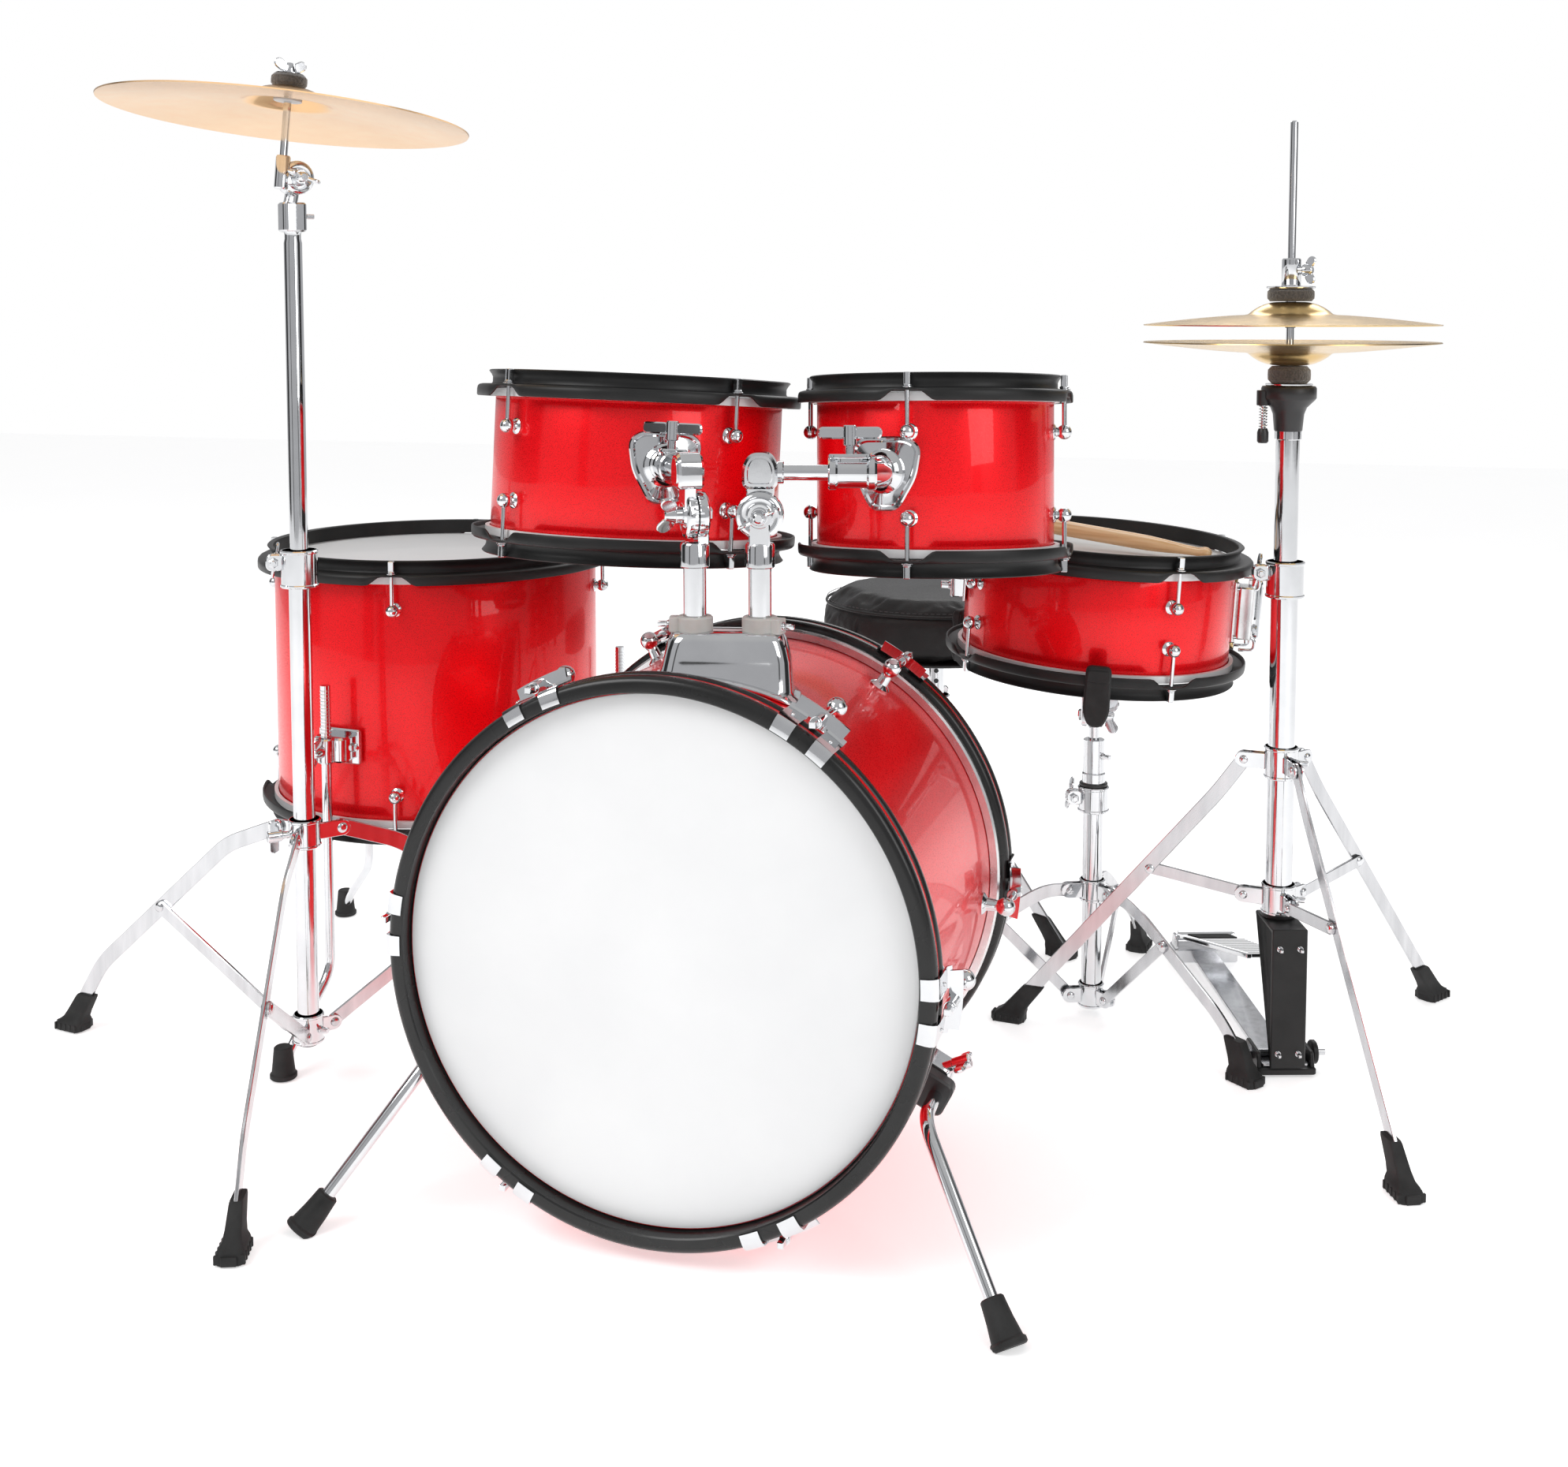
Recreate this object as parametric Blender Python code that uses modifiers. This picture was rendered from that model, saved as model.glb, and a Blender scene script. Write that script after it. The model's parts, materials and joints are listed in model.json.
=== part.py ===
"""A junior acoustic drum kit: bass drum, two rack toms, floor tom, snare, hi-hat, crash and throne.

Metres, +Z up. The audience is at -Y and the drummer sits at +Y. Each drum is built about its
own axis (local +Z runs out of one head) and hung on an empty that sets its place and tilt.
"""

import math

import bmesh
import bpy
from mathutils import Matrix, Vector

# ---- driving dimensions ---------------------------------------------------------------
KIT_CENTRE = Vector((-0.05345, 0.47933, 0.0))   # middle of the kit's footprint, the part's origin
GAP = 0.0003                                # left between neighbouring solids
HOVER = 0.0008                              # movable feet stop this far above the floor

SHELL_WALL = 0.006
HEAD_SKIN = 0.001
FLESH_HOOP = (0.0006, 0.0046, 0.008)        # inner and outer reach beyond the shell, and drop
HOOP_STEEL = 0.0022
HOOP_RIM = 0.015                            # head up to the rim
HOOP_LIP = 0.0035
HOOP_SKIRT = (0.0165, 0.0105)               # reach beyond the shell, and height
LUG_REACH = 0.0095                          # rod's distance beyond the shell
LUG_DROP = 0.033                            # lug below the head
ROD_R = 0.002
TOM_STEPS = 22
BIG_STEPS = 30

BASS_R, BASS_LENGTH = 0.203, 0.345
BASS_HOOP_R, BASS_HOOP_WIDTH = 0.2175, 0.030
BASS_LIFT = 0.032                           # tilt in radians: the front is held up by the spurs
BASS_FRONT = Vector((0.0, 0.0, 0.229))      # centre of the front hoop's face
BASS_LUGS = (177, 117, 57, -3, -63, -123)
HEAD_INSET = 0.012                          # bass film behind the hoop's face
BASS_LUG_BACK = 0.078                       # bass lug behind the hoop's face
BASS_ROD_BACK = 0.024                       # front end of the bass tension rods behind that face
BASS_ROD_OUT = 0.021                        # bass tension rod beyond the shell
SPUR_FOOT = Vector((0.280, -0.037, 0.0))
SPUR_R = 0.0055
SPUR_ANGLE = -28.0                          # of the spur bracket round the shell, below +X
SPUR_OUT = 0.024                            # spur rod's distance beyond the shell
SPUR_BACK = 0.105                           # bracket's distance behind the front hoop's face

# A drum: its centre, radius, depth, turn about X, Y and Z, and the angles of its lugs.
LEFT_TOM = (Vector((-0.111, 0.270, 0.578)), 0.127, 0.159, (-4.0, 1.5, 0.0), (-123, -33, 57, 147))
RIGHT_TOM = (Vector((0.155, 0.290, 0.5765)), 0.1015, 0.166, (-4.0, -1.2, 0.0), (-90, 0, 90, 180))
FLOOR_TOM = (Vector((-0.412, 0.468, 0.339)), 0.165, 0.277, (0.0, 0.0, 0.0), (-77, 13, 103, 193))
SNARE = (Vector((0.266, 0.553, 0.4285)), 0.130, 0.135, (0.0, 3.6, 0.0), (-143, -53, 37, 127))

LEFT_POST = Vector((0.004, 0.095, 0.0))
RIGHT_POST = Vector((0.054, 0.106, 0.0))
POST_TURN = 12.4                            # of the line through both posts, about +Z
POST_R, SLEEVE_R = 0.009, 0.0116
POST_FOOT, POST_TOP = 0.437, 0.530
ARM_R = 0.0062
LEFT_REACH, RIGHT_REACH = 0.072, 0.085      # arm's length from its post's axis
RIGHT_ARM_TURN = 104.0
MOUNT_LOW, MOUNT_TOP = 0.4185, 0.465
TILTER_Z = 0.557
TILTER_R = 0.0185
TILTER_CHEEK = (0.0004, 0.0105)             # near and far face of a cheek from the tilter's middle
ARM_Z = 0.590

FLOOR_LEGS = (-7, -127, 113)
FLOOR_LEG_R = 0.0048
FLOOR_LEG_OUT = 0.190                       # leg's distance from the drum's axis
FLOOR_FOOT_OUT = 0.262
FLOOR_LEG_TOP, FLOOR_LEG_KNEE = 0.358, 0.078
FLOOR_BRACKET_Z = 0.295

STAND_PLATE = 0.003
CRASH_AXIS = Vector((-0.412, 0.201, 0.0))
CRASH_TURN = 20.5
LEG_DEGREES = (CRASH_TURN, CRASH_TURN + 120, CRASH_TURN - 120)
CRASH_TUBE_R = 0.0098
CRASH_EAR = (0.034, 0.239)
CRASH_RIVET = (0.177, 0.144)
CRASH_FOOT_R = 0.304
CRASH_LOW_EAR = (0.024, 0.055)
CRASH_STEM_FOOT = 0.410
CRASH_SWING = 53.0                          # of the tilter about its stand, from facing +Y
CRASH_PIVOT_SHIFT = Vector((0.004, 0.003))  # from the stand's axis, along and across the swing
CRASH_PIVOT_Z = 0.834
CRASH_LEAN = 5.7                            # of the cymbal rod
CRASH_R = 0.160
CRASH_ROD = Vector((-0.014, -0.0062))       # the rod's place beside the tilter's pivot
CRASH_FELT_Z = 0.0768                       # underside of the bell along the rod
LEG_LAYER = 0.0034                          # step between leg, ear and brace across a pivot

HAT_AXIS = Vector((0.445, 0.508, 0.0))
HAT_TURN = 23.6
HAT_TUBE_R = 0.0125
HAT_R = 0.1335
HAT_TOP_Z, HAT_LOW_Z = 0.703, 0.686         # edges of the two cymbals
HAT_BOW = 0.009
HAT_CROWN = 0.021                           # edge to the top of the bell
HAT_ROD_TOP = 0.890
HAT_ROD_R = 0.0035
PEDAL_TURN = 17.4                           # of the footboard, from +Y towards -X
PEDAL_HEEL = 0.267
BOW_WIDTH, BOW_FRONT = 0.034, 0.040         # the pedal's bow, and its reach in front of the tube

SNARE_STAND = Vector((0.262, 0.578, 0.0))
SNARE_TURN = 51.1
SNARE_TUBE_R = 0.010
SNARE_ARMS = (8, 128, 248)
SNARE_PIVOT = Vector((0.262, 0.570, 0.310))
STRAINER_TURN, BUTT_TURN = 103.0, -78.0
STICK_LENGTH, STICK_R = 0.380, 0.0068
STICK_RISE = math.atan2(0.0160, 0.244)      # from the tip on the head to the butt on the rim

THRONE_AXIS = Vector((0.045, 0.840, 0.0))
THRONE_TURN = 56.5
THRONE_TUBE_R = 0.0125
SEAT_R, SEAT_HEIGHT, SEAT_TOP = 0.140, 0.072, 0.391

RED = (0.55, 0.008, 0.012)
BLACK = (0.015, 0.015, 0.016)
CHROME = (0.78, 0.79, 0.80)
WHITE = (0.86, 0.86, 0.85)
BRASS = (0.72, 0.52, 0.24)
WOOD = (0.74, 0.52, 0.30)


# ---- scene ----------------------------------------------------------------------------
def clear_scene():
    for obj in list(bpy.data.objects):
        bpy.data.objects.remove(obj)


def new_collection(name):
    collection = bpy.data.collections.new(name)
    bpy.context.scene.collection.children.link(collection)
    return collection


def finish_of(name, colour, roughness, metallic):
    material = bpy.data.materials.new(name)
    material.use_nodes = True
    shader = material.node_tree.nodes["Principled BSDF"]
    shader.inputs["Base Color"].default_value = (*colour, 1.0)
    shader.inputs["Roughness"].default_value = roughness
    shader.inputs["Metallic"].default_value = metallic
    return material


# ---- shapes ---------------------------------------------------------------------------
def add_object(name, data, collection=None):
    obj = bpy.data.objects.new(name, data)
    (collection or KIT).objects.link(obj)
    return obj


def piece(build, matrix=None):
    """A mesh object made by build(bmesh), moved by matrix."""
    mesh = bpy.data.meshes.new("piece")
    shape = bmesh.new()
    build(shape)
    if matrix is not None:
        shape.transform(matrix)
    shape.to_mesh(mesh)
    shape.free()
    return add_object("piece", mesh)


def along(start, end):
    """The matrix that turns +Z to run from start to end, placed at their middle."""
    start, end = Vector(start), Vector(end)
    turn = (end - start).to_track_quat("Z", "Y").to_matrix().to_4x4()
    return Matrix.Translation((start + end) / 2) @ turn


def rod(start, end, radius, sides=8, end_radius=None):
    length = (Vector(end) - Vector(start)).length
    top = radius if end_radius is None else end_radius
    return piece(
        lambda shape: bmesh.ops.create_cone(
            shape, cap_ends=True, segments=sides, radius1=radius, radius2=top, depth=length
        ),
        along(start, end),
    )


def ball(centre, radius, across=10, down=6):
    return piece(
        lambda shape: bmesh.ops.create_uvsphere(
            shape, u_segments=across, v_segments=down, radius=radius
        ),
        Matrix.Translation(centre),
    )


def block(centre, size, turn=0.0):
    """A box, turned about the vertical by degrees."""
    scale = Matrix.Diagonal((*size, 1.0))
    spin = Matrix.Rotation(math.radians(turn), 4, "Z")
    place = Matrix.Translation(centre) @ spin @ scale
    return piece(lambda shape: bmesh.ops.create_cube(shape, size=1.0), place)


def turned(profile, steps, closed=False):
    """A solid of revolution about Z. The profile runs down its outer side, top to bottom."""
    mesh = bpy.data.meshes.new("turned")
    points = [(radius, 0.0, height) for radius, height in profile]
    count = len(points)
    edges = [(i, (i + 1) % count) for i in range(count if closed else count - 1)]
    mesh.from_pydata(points, edges, [])
    obj = add_object("turned", mesh)
    screw = obj.modifiers.new("turn", "SCREW")
    screw.steps = screw.render_steps = steps
    screw.use_merge_vertices = True
    screw.merge_threshold = 0.00001
    return bake(obj)


def ring(outer, inner, low, high, steps=24):
    return turned([(outer, high), (outer, low), (inner, low), (inner, high)], steps, closed=True)


def curve_piece(curve):
    """The mesh of a curve object, with its caps welded on."""
    obj = add_object("curve", curve)
    mesh = bpy.data.meshes.new_from_object(obj.evaluated_get(bpy.context.evaluated_depsgraph_get()))
    bpy.data.objects.remove(obj)
    shape = bmesh.new()
    shape.from_mesh(mesh)
    bmesh.ops.remove_doubles(shape, verts=shape.verts, dist=0.00001)
    bmesh.ops.recalc_face_normals(shape, faces=shape.faces)
    shape.to_mesh(mesh)
    shape.free()
    return add_object("piece", mesh)


def bent_tube(points, radius, fillet=0.0, resolution=1):
    curve = bpy.data.curves.new("tube", "CURVE")
    curve.dimensions = "3D"
    curve.bevel_depth = radius
    curve.bevel_resolution = resolution
    curve.use_fill_caps = True
    path = rounded(points, fillet) if fillet else [Vector(p) for p in points]
    spline = curve.splines.new("POLY")
    spline.points.add(len(path) - 1)
    for point, place in zip(spline.points, path):
        point.co = (*place, 1.0)
    return curve_piece(curve)


def rounded(points, fillet, cuts=3):
    """The polyline with each inner corner replaced by a short quadratic bend."""
    points = [Vector(p) for p in points]
    path = [points[0]]
    for before, corner, after in zip(points, points[1:], points[2:]):
        start = corner + (before - corner).normalized() * fillet
        end = corner + (after - corner).normalized() * fillet
        for i in range(cuts + 1):
            t = i / cuts
            path.append(start * (1 - t) ** 2 + corner * 2 * t * (1 - t) + end * t**2)
    return path + [points[-1]]


def plate(outline, thickness, frame):
    """A flat piece: its outline lies in the frame's XY plane, and it is thick along Z."""
    curve = bpy.data.curves.new("plate", "CURVE")
    curve.dimensions = "2D"
    curve.fill_mode = "BOTH"
    curve.extrude = thickness / 2
    spline = curve.splines.new("POLY")
    spline.points.add(len(outline) - 1)
    for point, (x, y) in zip(spline.points, outline):
        point.co = (x, y, 0.0, 1.0)
    spline.use_cyclic_u = True
    obj = curve_piece(curve)
    obj.data.transform(frame)
    return obj


def bar_outline(points, width):
    """The outline of a flat bar whose middle line runs through points."""
    points = [Vector(p) for p in points]
    sides = ([], [])
    for i, point in enumerate(points):
        into = (point - points[max(i - 1, 0)]).normalized()
        out = (points[min(i + 1, len(points) - 1)] - point).normalized()
        middle = (into + out).normalized()
        across = Vector((-middle.y, middle.x))
        reach = width / 2 / max(0.5, (into if into.length else out).dot(middle))
        sides[0].append(point + across * reach)
        sides[1].append(point - across * reach)
    return [(p.x, p.y) for p in sides[0] + sides[1][::-1]]


def at(axis, height):
    return Vector((axis.x, axis.y, height))


def compass(degrees):
    """The level direction that many degrees round from -Y towards +X."""
    angle = math.radians(degrees)
    return Vector((math.sin(angle), -math.cos(angle), 0.0))


def leg_plane(axis, degrees, layer=0.0):
    """A frame whose X runs out along a leg, Y up and Z across it, shifted by layer."""
    outward, up = compass(degrees), Vector((0.0, 0.0, 1.0))
    across = outward.cross(up)
    turn = Matrix((outward, up, across)).transposed().to_4x4()
    return Matrix.Translation(axis + across * layer) @ turn


def bake(obj):
    """Applies the modifiers of obj."""
    graph = bpy.context.evaluated_depsgraph_get()
    mesh = bpy.data.meshes.new_from_object(obj.evaluated_get(graph))
    obj.modifiers.clear()
    obj.data = mesh
    return obj


def join(base, *others, solver="EXACT"):
    """Unions the others into base."""
    for other in others:
        union = base.modifiers.new("union", "BOOLEAN")
        union.operation = "UNION"
        union.solver = solver
        union.object = other
    bake(base)
    for other in others:
        bpy.data.objects.remove(other)
    return base


def cut(base, *cutters):
    for cutter in cutters:
        CUTTERS.objects.link(cutter)
        KIT.objects.unlink(cutter)
        cutter.hide_render = True
        cutter.display_type = "WIRE"
        difference = base.modifiers.new("cut", "BOOLEAN")
        difference.operation = "DIFFERENCE"
        difference.object = cutter
    bake(base)
    for cutter in cutters:
        bpy.data.objects.remove(cutter)
    return base


def name_node(obj, name, finish, parent=None):
    """Makes obj the finished node called name, carried by parent."""
    obj.name = obj.data.name = name
    obj.data.materials.clear()
    obj.data.materials.append(finish)
    obj.data.shade_smooth()
    obj.data.set_sharp_from_angle(angle=math.radians(35))
    obj.parent = parent or KIT_FRAME
    return obj


def axis_empty(name, place, turn=(0.0, 0.0, 0.0)):
    """An empty on a drum's or a joint's axis. Its turn is in degrees about X, Y and Z."""
    empty = add_object(name, None)
    empty.location = place
    empty.rotation_euler = [math.radians(angle) for angle in turn]
    empty.parent = KIT_FRAME
    return empty


def carried(obj, place):
    """Moves a piece built in the kit's frame so that its origin is at place."""
    obj.data.transform(Matrix.Translation(-Vector(place)))
    obj.location = place
    return obj


# ---- drums ----------------------------------------------------------------------------
def steel_hoop(radius, head, steps, side):
    """A flanged hoop: side is 1 on the batter end and -1 on the resonant end."""
    low = head + GAP
    inner, wall = radius + 0.001, radius + 0.001 + HOOP_STEEL
    skirt, foot = radius + HOOP_SKIRT[0], low + HOOP_STEEL - HOOP_SKIRT[1]
    profile = [
        (wall + HOOP_LIP, head + HOOP_RIM),
        (wall, low + HOOP_STEEL),
        (skirt, low + HOOP_STEEL),
        (skirt, foot),
        (skirt - HOOP_STEEL, foot),
        (skirt - HOOP_STEEL, low),
        (inner, low),
        (inner, head + HOOP_RIM),
    ]
    if side < 0:
        profile = [(r, -z) for r, z in reversed(profile)]
    return turned(profile, steps, closed=True)


def drum_head(radius, head, steps, side):
    inner, outer, drop = FLESH_HOOP
    profile = [
        (0.0, head),
        (radius + outer, head),
        (radius + outer, head - drop),
        (radius + inner, head - drop),
        (radius + inner, head - HEAD_SKIN),
        (0.0, head - HEAD_SKIN),
    ]
    if side < 0:
        profile = [(r, -z) for r, z in reversed(profile)]
    return turned(profile, steps)


def lug(radius, angle, height, rod_end, reach, size=1.0):
    """A ball-ended post on the shell, and the tension rod that leaves it."""
    outward = Vector((math.cos(math.radians(angle)), math.sin(math.radians(angle)), 0.0))
    root = outward * (radius - SHELL_WALL / 2) + Vector((0.0, 0.0, height))
    tip = outward * (radius + reach + 0.003) + Vector((0.0, 0.0, height))
    stem = outward * (radius + reach)
    return [
        rod(root, tip, 0.0062 * size, 6, 0.0050 * size),
        rod(stem + Vector((0.0, 0.0, height)), stem + Vector((0.0, 0.0, rod_end)), ROD_R, 5),
    ]


def plain_drum(prefix, radius, depth, frame, lug_angles, steps, extras=()):
    """A drum with flanged steel hoops. Angles run from +X towards +Y about its axis."""
    head = depth / 2 - HOOP_RIM
    edge = head - HEAD_SKIN - GAP
    shell = ring(radius, radius - SHELL_WALL, -edge, edge, steps)
    pieces = list(extras)
    for side in (1, -1):
        for angle in lug_angles:
            pieces += lug(radius, angle, side * (head - LUG_DROP), side * (head - GAP), LUG_REACH)
    name_node(join(shell, *pieces), prefix + "_shell", LACQUER, frame)
    for side, end in ((1, "batter"), (-1, "resonant")):
        name_node(drum_head(radius, head, steps, side), f"{prefix}_{end}_head", FILM, frame)
        name_node(steel_hoop(radius, head, steps, side), f"{prefix}_{end}_hoop", PAINT, frame)


def bass_head(radius, face, steps, side):
    """The film lies just inside the hoop's mouth, and its collar shows behind the hoop."""
    skin, back = face - HEAD_INSET, face - BASS_HOOP_WIDTH - GAP
    profile = [
        (0.0, skin),
        (radius + 0.0012, skin),
        (radius + 0.0012, back),
        (radius + 0.0085, back),
        (radius + 0.0085, back - 0.009),
        (radius + 0.0005, back - 0.009),
        (radius + 0.0005, skin - HEAD_SKIN),
        (0.0, skin - HEAD_SKIN),
    ]
    if side < 0:
        profile = [(r, -z) for r, z in reversed(profile)]
    return turned(profile, steps)


def bass_drum():
    face = BASS_LENGTH / 2
    back = Vector((0.0, math.cos(BASS_LIFT), -math.sin(BASS_LIFT)))
    frame = axis_empty(
        "bass_axis", BASS_FRONT + back * face, (90.0 - math.degrees(BASS_LIFT), 0.0, 0.0)
    )
    edge = face - HEAD_INSET - HEAD_SKIN - GAP
    shell = ring(BASS_R, BASS_R - SHELL_WALL, -edge, edge, BIG_STEPS)
    pieces = []
    for side in (1, -1):
        for angle in BASS_LUGS:
            post, end = side * (face - BASS_LUG_BACK), side * (face - BASS_ROD_BACK)
            pieces += lug(BASS_R, angle, post, end, BASS_ROD_OUT, 1.2)
    for side in (1, -1):
        pieces.append(spur_bracket(side))
    name_node(join(shell, *pieces), "bass_shell", LACQUER, frame)
    for side, end in ((1, "front"), (-1, "batter")):
        name_node(bass_head(BASS_R, face, BIG_STEPS, side), f"bass_{end}_head", FILM, frame)
        low, high = sorted((side * face, side * (face - BASS_HOOP_WIDTH)))
        hoop = ring(BASS_HOOP_R, BASS_R + 0.0015, low, high, BIG_STEPS)
        name_node(hoop, f"bass_{end}_hoop", PAINT, frame)


def spur_place(side):
    """The spur rod's axis at its bracket, in the bass drum's own frame."""
    angle = math.radians(SPUR_ANGLE)
    reach = BASS_R + SPUR_OUT
    height = BASS_LENGTH / 2 - SPUR_BACK
    return Vector((side * math.cos(angle) * reach, math.sin(angle) * reach, height))


def spur_bracket(side):
    """A block on the shell's flank, bored for the spur rod."""
    centre = spur_place(side)
    outward = Vector((centre.x, centre.y, 0.0)).normalized()
    turn = math.degrees(math.atan2(outward.y, outward.x))
    body = block(centre - outward * 0.009, (0.034, 0.026, 0.036), turn)
    bore = rod(
        centre - Vector((0.0, 0.0, 0.03)), centre + Vector((0.0, 0.0, 0.03)), SPUR_R + GAP, 12
    )
    return cut(body, bore)


def spur(side, name):
    """A rod that runs forward from its bracket, turns out and down, and ends in a rubber foot."""
    back = Vector((0.0, math.cos(BASS_LIFT), -math.sin(BASS_LIFT)))
    up = Vector((0.0, math.sin(BASS_LIFT), math.cos(BASS_LIFT)))
    local = spur_place(side)
    middle = BASS_FRONT + back * (BASS_LENGTH / 2)
    axle = middle + Vector((local.x, 0.0, 0.0)) + up * local.y - back * local.z
    foot = Vector((side * SPUR_FOOT.x, SPUR_FOOT.y, HOVER))
    knee = axle - back * 0.062
    ankle = foot + (knee - foot).normalized() * 0.030
    tube = bent_tube([axle + back * 0.026, knee, ankle], SPUR_R, 0.016, 2)
    shoe = rod(foot, ankle + (ankle - foot).normalized() * 0.008, 0.0135, 10, 0.009)
    flatten(shoe, HOVER)
    name_node(carried(join(tube, shoe), axle), name, STEEL)


def flatten(obj, floor):
    """Trims whatever reaches below the floor level."""
    for vertex in obj.data.vertices:
        vertex.co.z = max(vertex.co.z, floor)


def tom_mount():
    """The chrome bridge on the bass shell that takes the two tom posts."""
    low = MOUNT_LOW
    outline = [(-0.056, 0.0), (0.056, 0.0), (0.044, MOUNT_TOP - low), (-0.044, MOUNT_TOP - low)]
    middle = Vector((LEFT_POST.x + RIGHT_POST.x, LEFT_POST.y + RIGHT_POST.y, 0.0)) / 2
    turn = Matrix.Rotation(math.radians(POST_TURN), 4, "Z") @ Matrix.Rotation(math.pi / 2, 4, "X")
    frame = Matrix.Translation(middle + Vector((0.0, 0.0, low))) @ turn
    bridge = plate(outline, 0.046, frame)
    collars = [rod(at(p, MOUNT_TOP - 0.004), at(p, MOUNT_TOP + 0.012), 0.014, 16)
               for p in (LEFT_POST, RIGHT_POST)]
    bores = [rod(at(p, POST_FOOT - 0.001), at(p, MOUNT_TOP + 0.03), POST_R + GAP, 16)
             for p in (LEFT_POST, RIGHT_POST)]
    hollow = block(middle + Vector((0.0, 0.0, low - 0.001)), (0.096, 0.034, 0.028), POST_TURN)
    base = cut(join(bridge, *collars), *bores)
    saddle_y = BASS_FRONT.y + BASS_LENGTH / 2
    centre = Vector((0.0, saddle_y, BASS_FRONT.z - BASS_LIFT * BASS_LENGTH / 2))
    back = Vector((0.0, math.cos(BASS_LIFT), -math.sin(BASS_LIFT)))
    saddle = rod(centre - back * 0.2, centre + back * 0.2, BASS_R + 2 * GAP, 72)
    name_node(cut(base, hollow, saddle), "tom_mount_base", STEEL)


def tom_post(post, outward, name):
    """A post in the bridge, with its sleeve and the fixed half of the ratchet."""
    tube = rod(at(post, POST_FOOT), at(post, POST_TOP), POST_R, 14)
    sleeve = rod(at(post, POST_TOP - 0.014), at(post, POST_TOP + 0.0075), SLEEVE_R, 16)
    axis = outward.cross(Vector((0.0, 0.0, 1.0)))
    centre = at(post, TILTER_Z)
    near, far = TILTER_CHEEK
    middle = axis * (near + far) / 2
    cheek = rod(centre + axis * near, centre + axis * far, TILTER_R, 16)
    root = rod(at(post, POST_TOP) + middle, centre + middle, 0.0047, 8)
    name_node(carried(join(tube, sleeve, cheek, root), at(post, 0.0)), name, STEEL)


def tom_arm(post, outward, reach, name):
    """The moving half of the ratchet, and the arm that enters the tom's bracket."""
    axis = outward.cross(Vector((0.0, 0.0, 1.0)))
    centre = at(post, TILTER_Z)
    near, far = TILTER_CHEEK
    cheek = rod(centre - axis * near, centre - axis * far, TILTER_R, 16)
    top = Vector((0.0, 0.0, ARM_Z - TILTER_Z))
    middle = centre - axis * (near + far) / 2
    shank = rod(middle + top * 0.2, middle + top * 0.64, 0.0046, 8)
    neck = rod(middle + top * 0.61, middle + top * 1.3, 0.0105, 10)
    arm = rod(middle + top - outward * 0.004, middle + top + outward * reach, ARM_R, 12)
    name_node(carried(join(cheek, shank, neck, arm), centre), name, STEEL)
    return middle + top, middle + top + outward * reach


def tom_bracket(tom, start, end):
    """A clamp on the tom's shell round its arm, in the tom's own frame."""
    place, radius, _, turn, _ = tom
    into = (Matrix.Translation(place) @ euler_matrix(turn)).inverted()
    start, end = into @ start, into @ end
    direction = (end - start).normalized()
    mouth = end - direction * 0.030
    sleeve = rod(mouth, end + direction * 0.006, 0.0135, 12)
    centre = (mouth + end) / 2
    towards = Vector((-centre.x, -centre.y, 0.0)).normalized()
    wall = centre + towards * (Vector((centre.x, centre.y)).length - radius + 0.003)
    stem = rod(centre, wall, 0.012, 8, 0.020)
    bore = rod(mouth - direction * 0.02, end + direction * 0.0015, ARM_R + GAP, 16)
    return cut(join(sleeve, stem), bore)


def euler_matrix(turn):
    x, y, z = (math.radians(angle) for angle in turn)
    spin = Matrix.Rotation(z, 4, "Z") @ Matrix.Rotation(y, 4, "Y")
    return spin @ Matrix.Rotation(x, 4, "X")


def rack_tom(prefix, tom, post, outward, reach):
    tom_post(post, outward, prefix + "_post")
    start, end = tom_arm(post, outward, reach, prefix + "_arm")
    place, radius, depth, turn, lugs = tom
    frame = axis_empty(prefix + "_axis", place, turn)
    bracket = tom_bracket(tom, start, end)
    plain_drum(prefix, radius, depth, frame, lugs, TOM_STEPS, [bracket])


def floor_tom():
    place, radius, depth, turn, lugs = FLOOR_TOM
    frame = axis_empty("floor_tom_axis", place, turn)
    brackets = []
    for degrees in FLOOR_LEGS:
        outward = compass(degrees)
        middle = outward * FLOOR_LEG_OUT + Vector((0.0, 0.0, FLOOR_BRACKET_Z - place.z))
        body = block(middle - outward * 0.010, (0.020, 0.034, 0.022), degrees)
        upright = Vector((0.0, 0.0, 0.02))
        bore = rod(middle - upright, middle + upright, FLOOR_LEG_R + GAP, 12)
        brackets.append(cut(body, bore))
    plain_drum("floor_tom", radius, depth, frame, lugs, BIG_STEPS, brackets)
    for degrees, letter in zip(FLOOR_LEGS, "abc"):
        outward = compass(degrees)
        top = at(place + outward * FLOOR_LEG_OUT, FLOOR_LEG_TOP)
        knee = at(top, FLOOR_LEG_KNEE)
        foot = at(place + outward * FLOOR_FOOT_OUT, HOVER)
        ankle = Vector((foot.x, foot.y, 0.026)) - outward * 0.012
        leg = bent_tube([top, knee, ankle, foot + Vector((0.0, 0.0, 0.012))], FLOOR_LEG_R, 0.011, 2)
        shoe = rod(foot, Vector((foot.x, foot.y, 0.031)) - outward * 0.010, 0.0125, 10, 0.009)
        flatten(shoe, HOVER)
        name_node(carried(join(leg, shoe), top), "floor_tom_leg_" + letter, STEEL)


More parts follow.
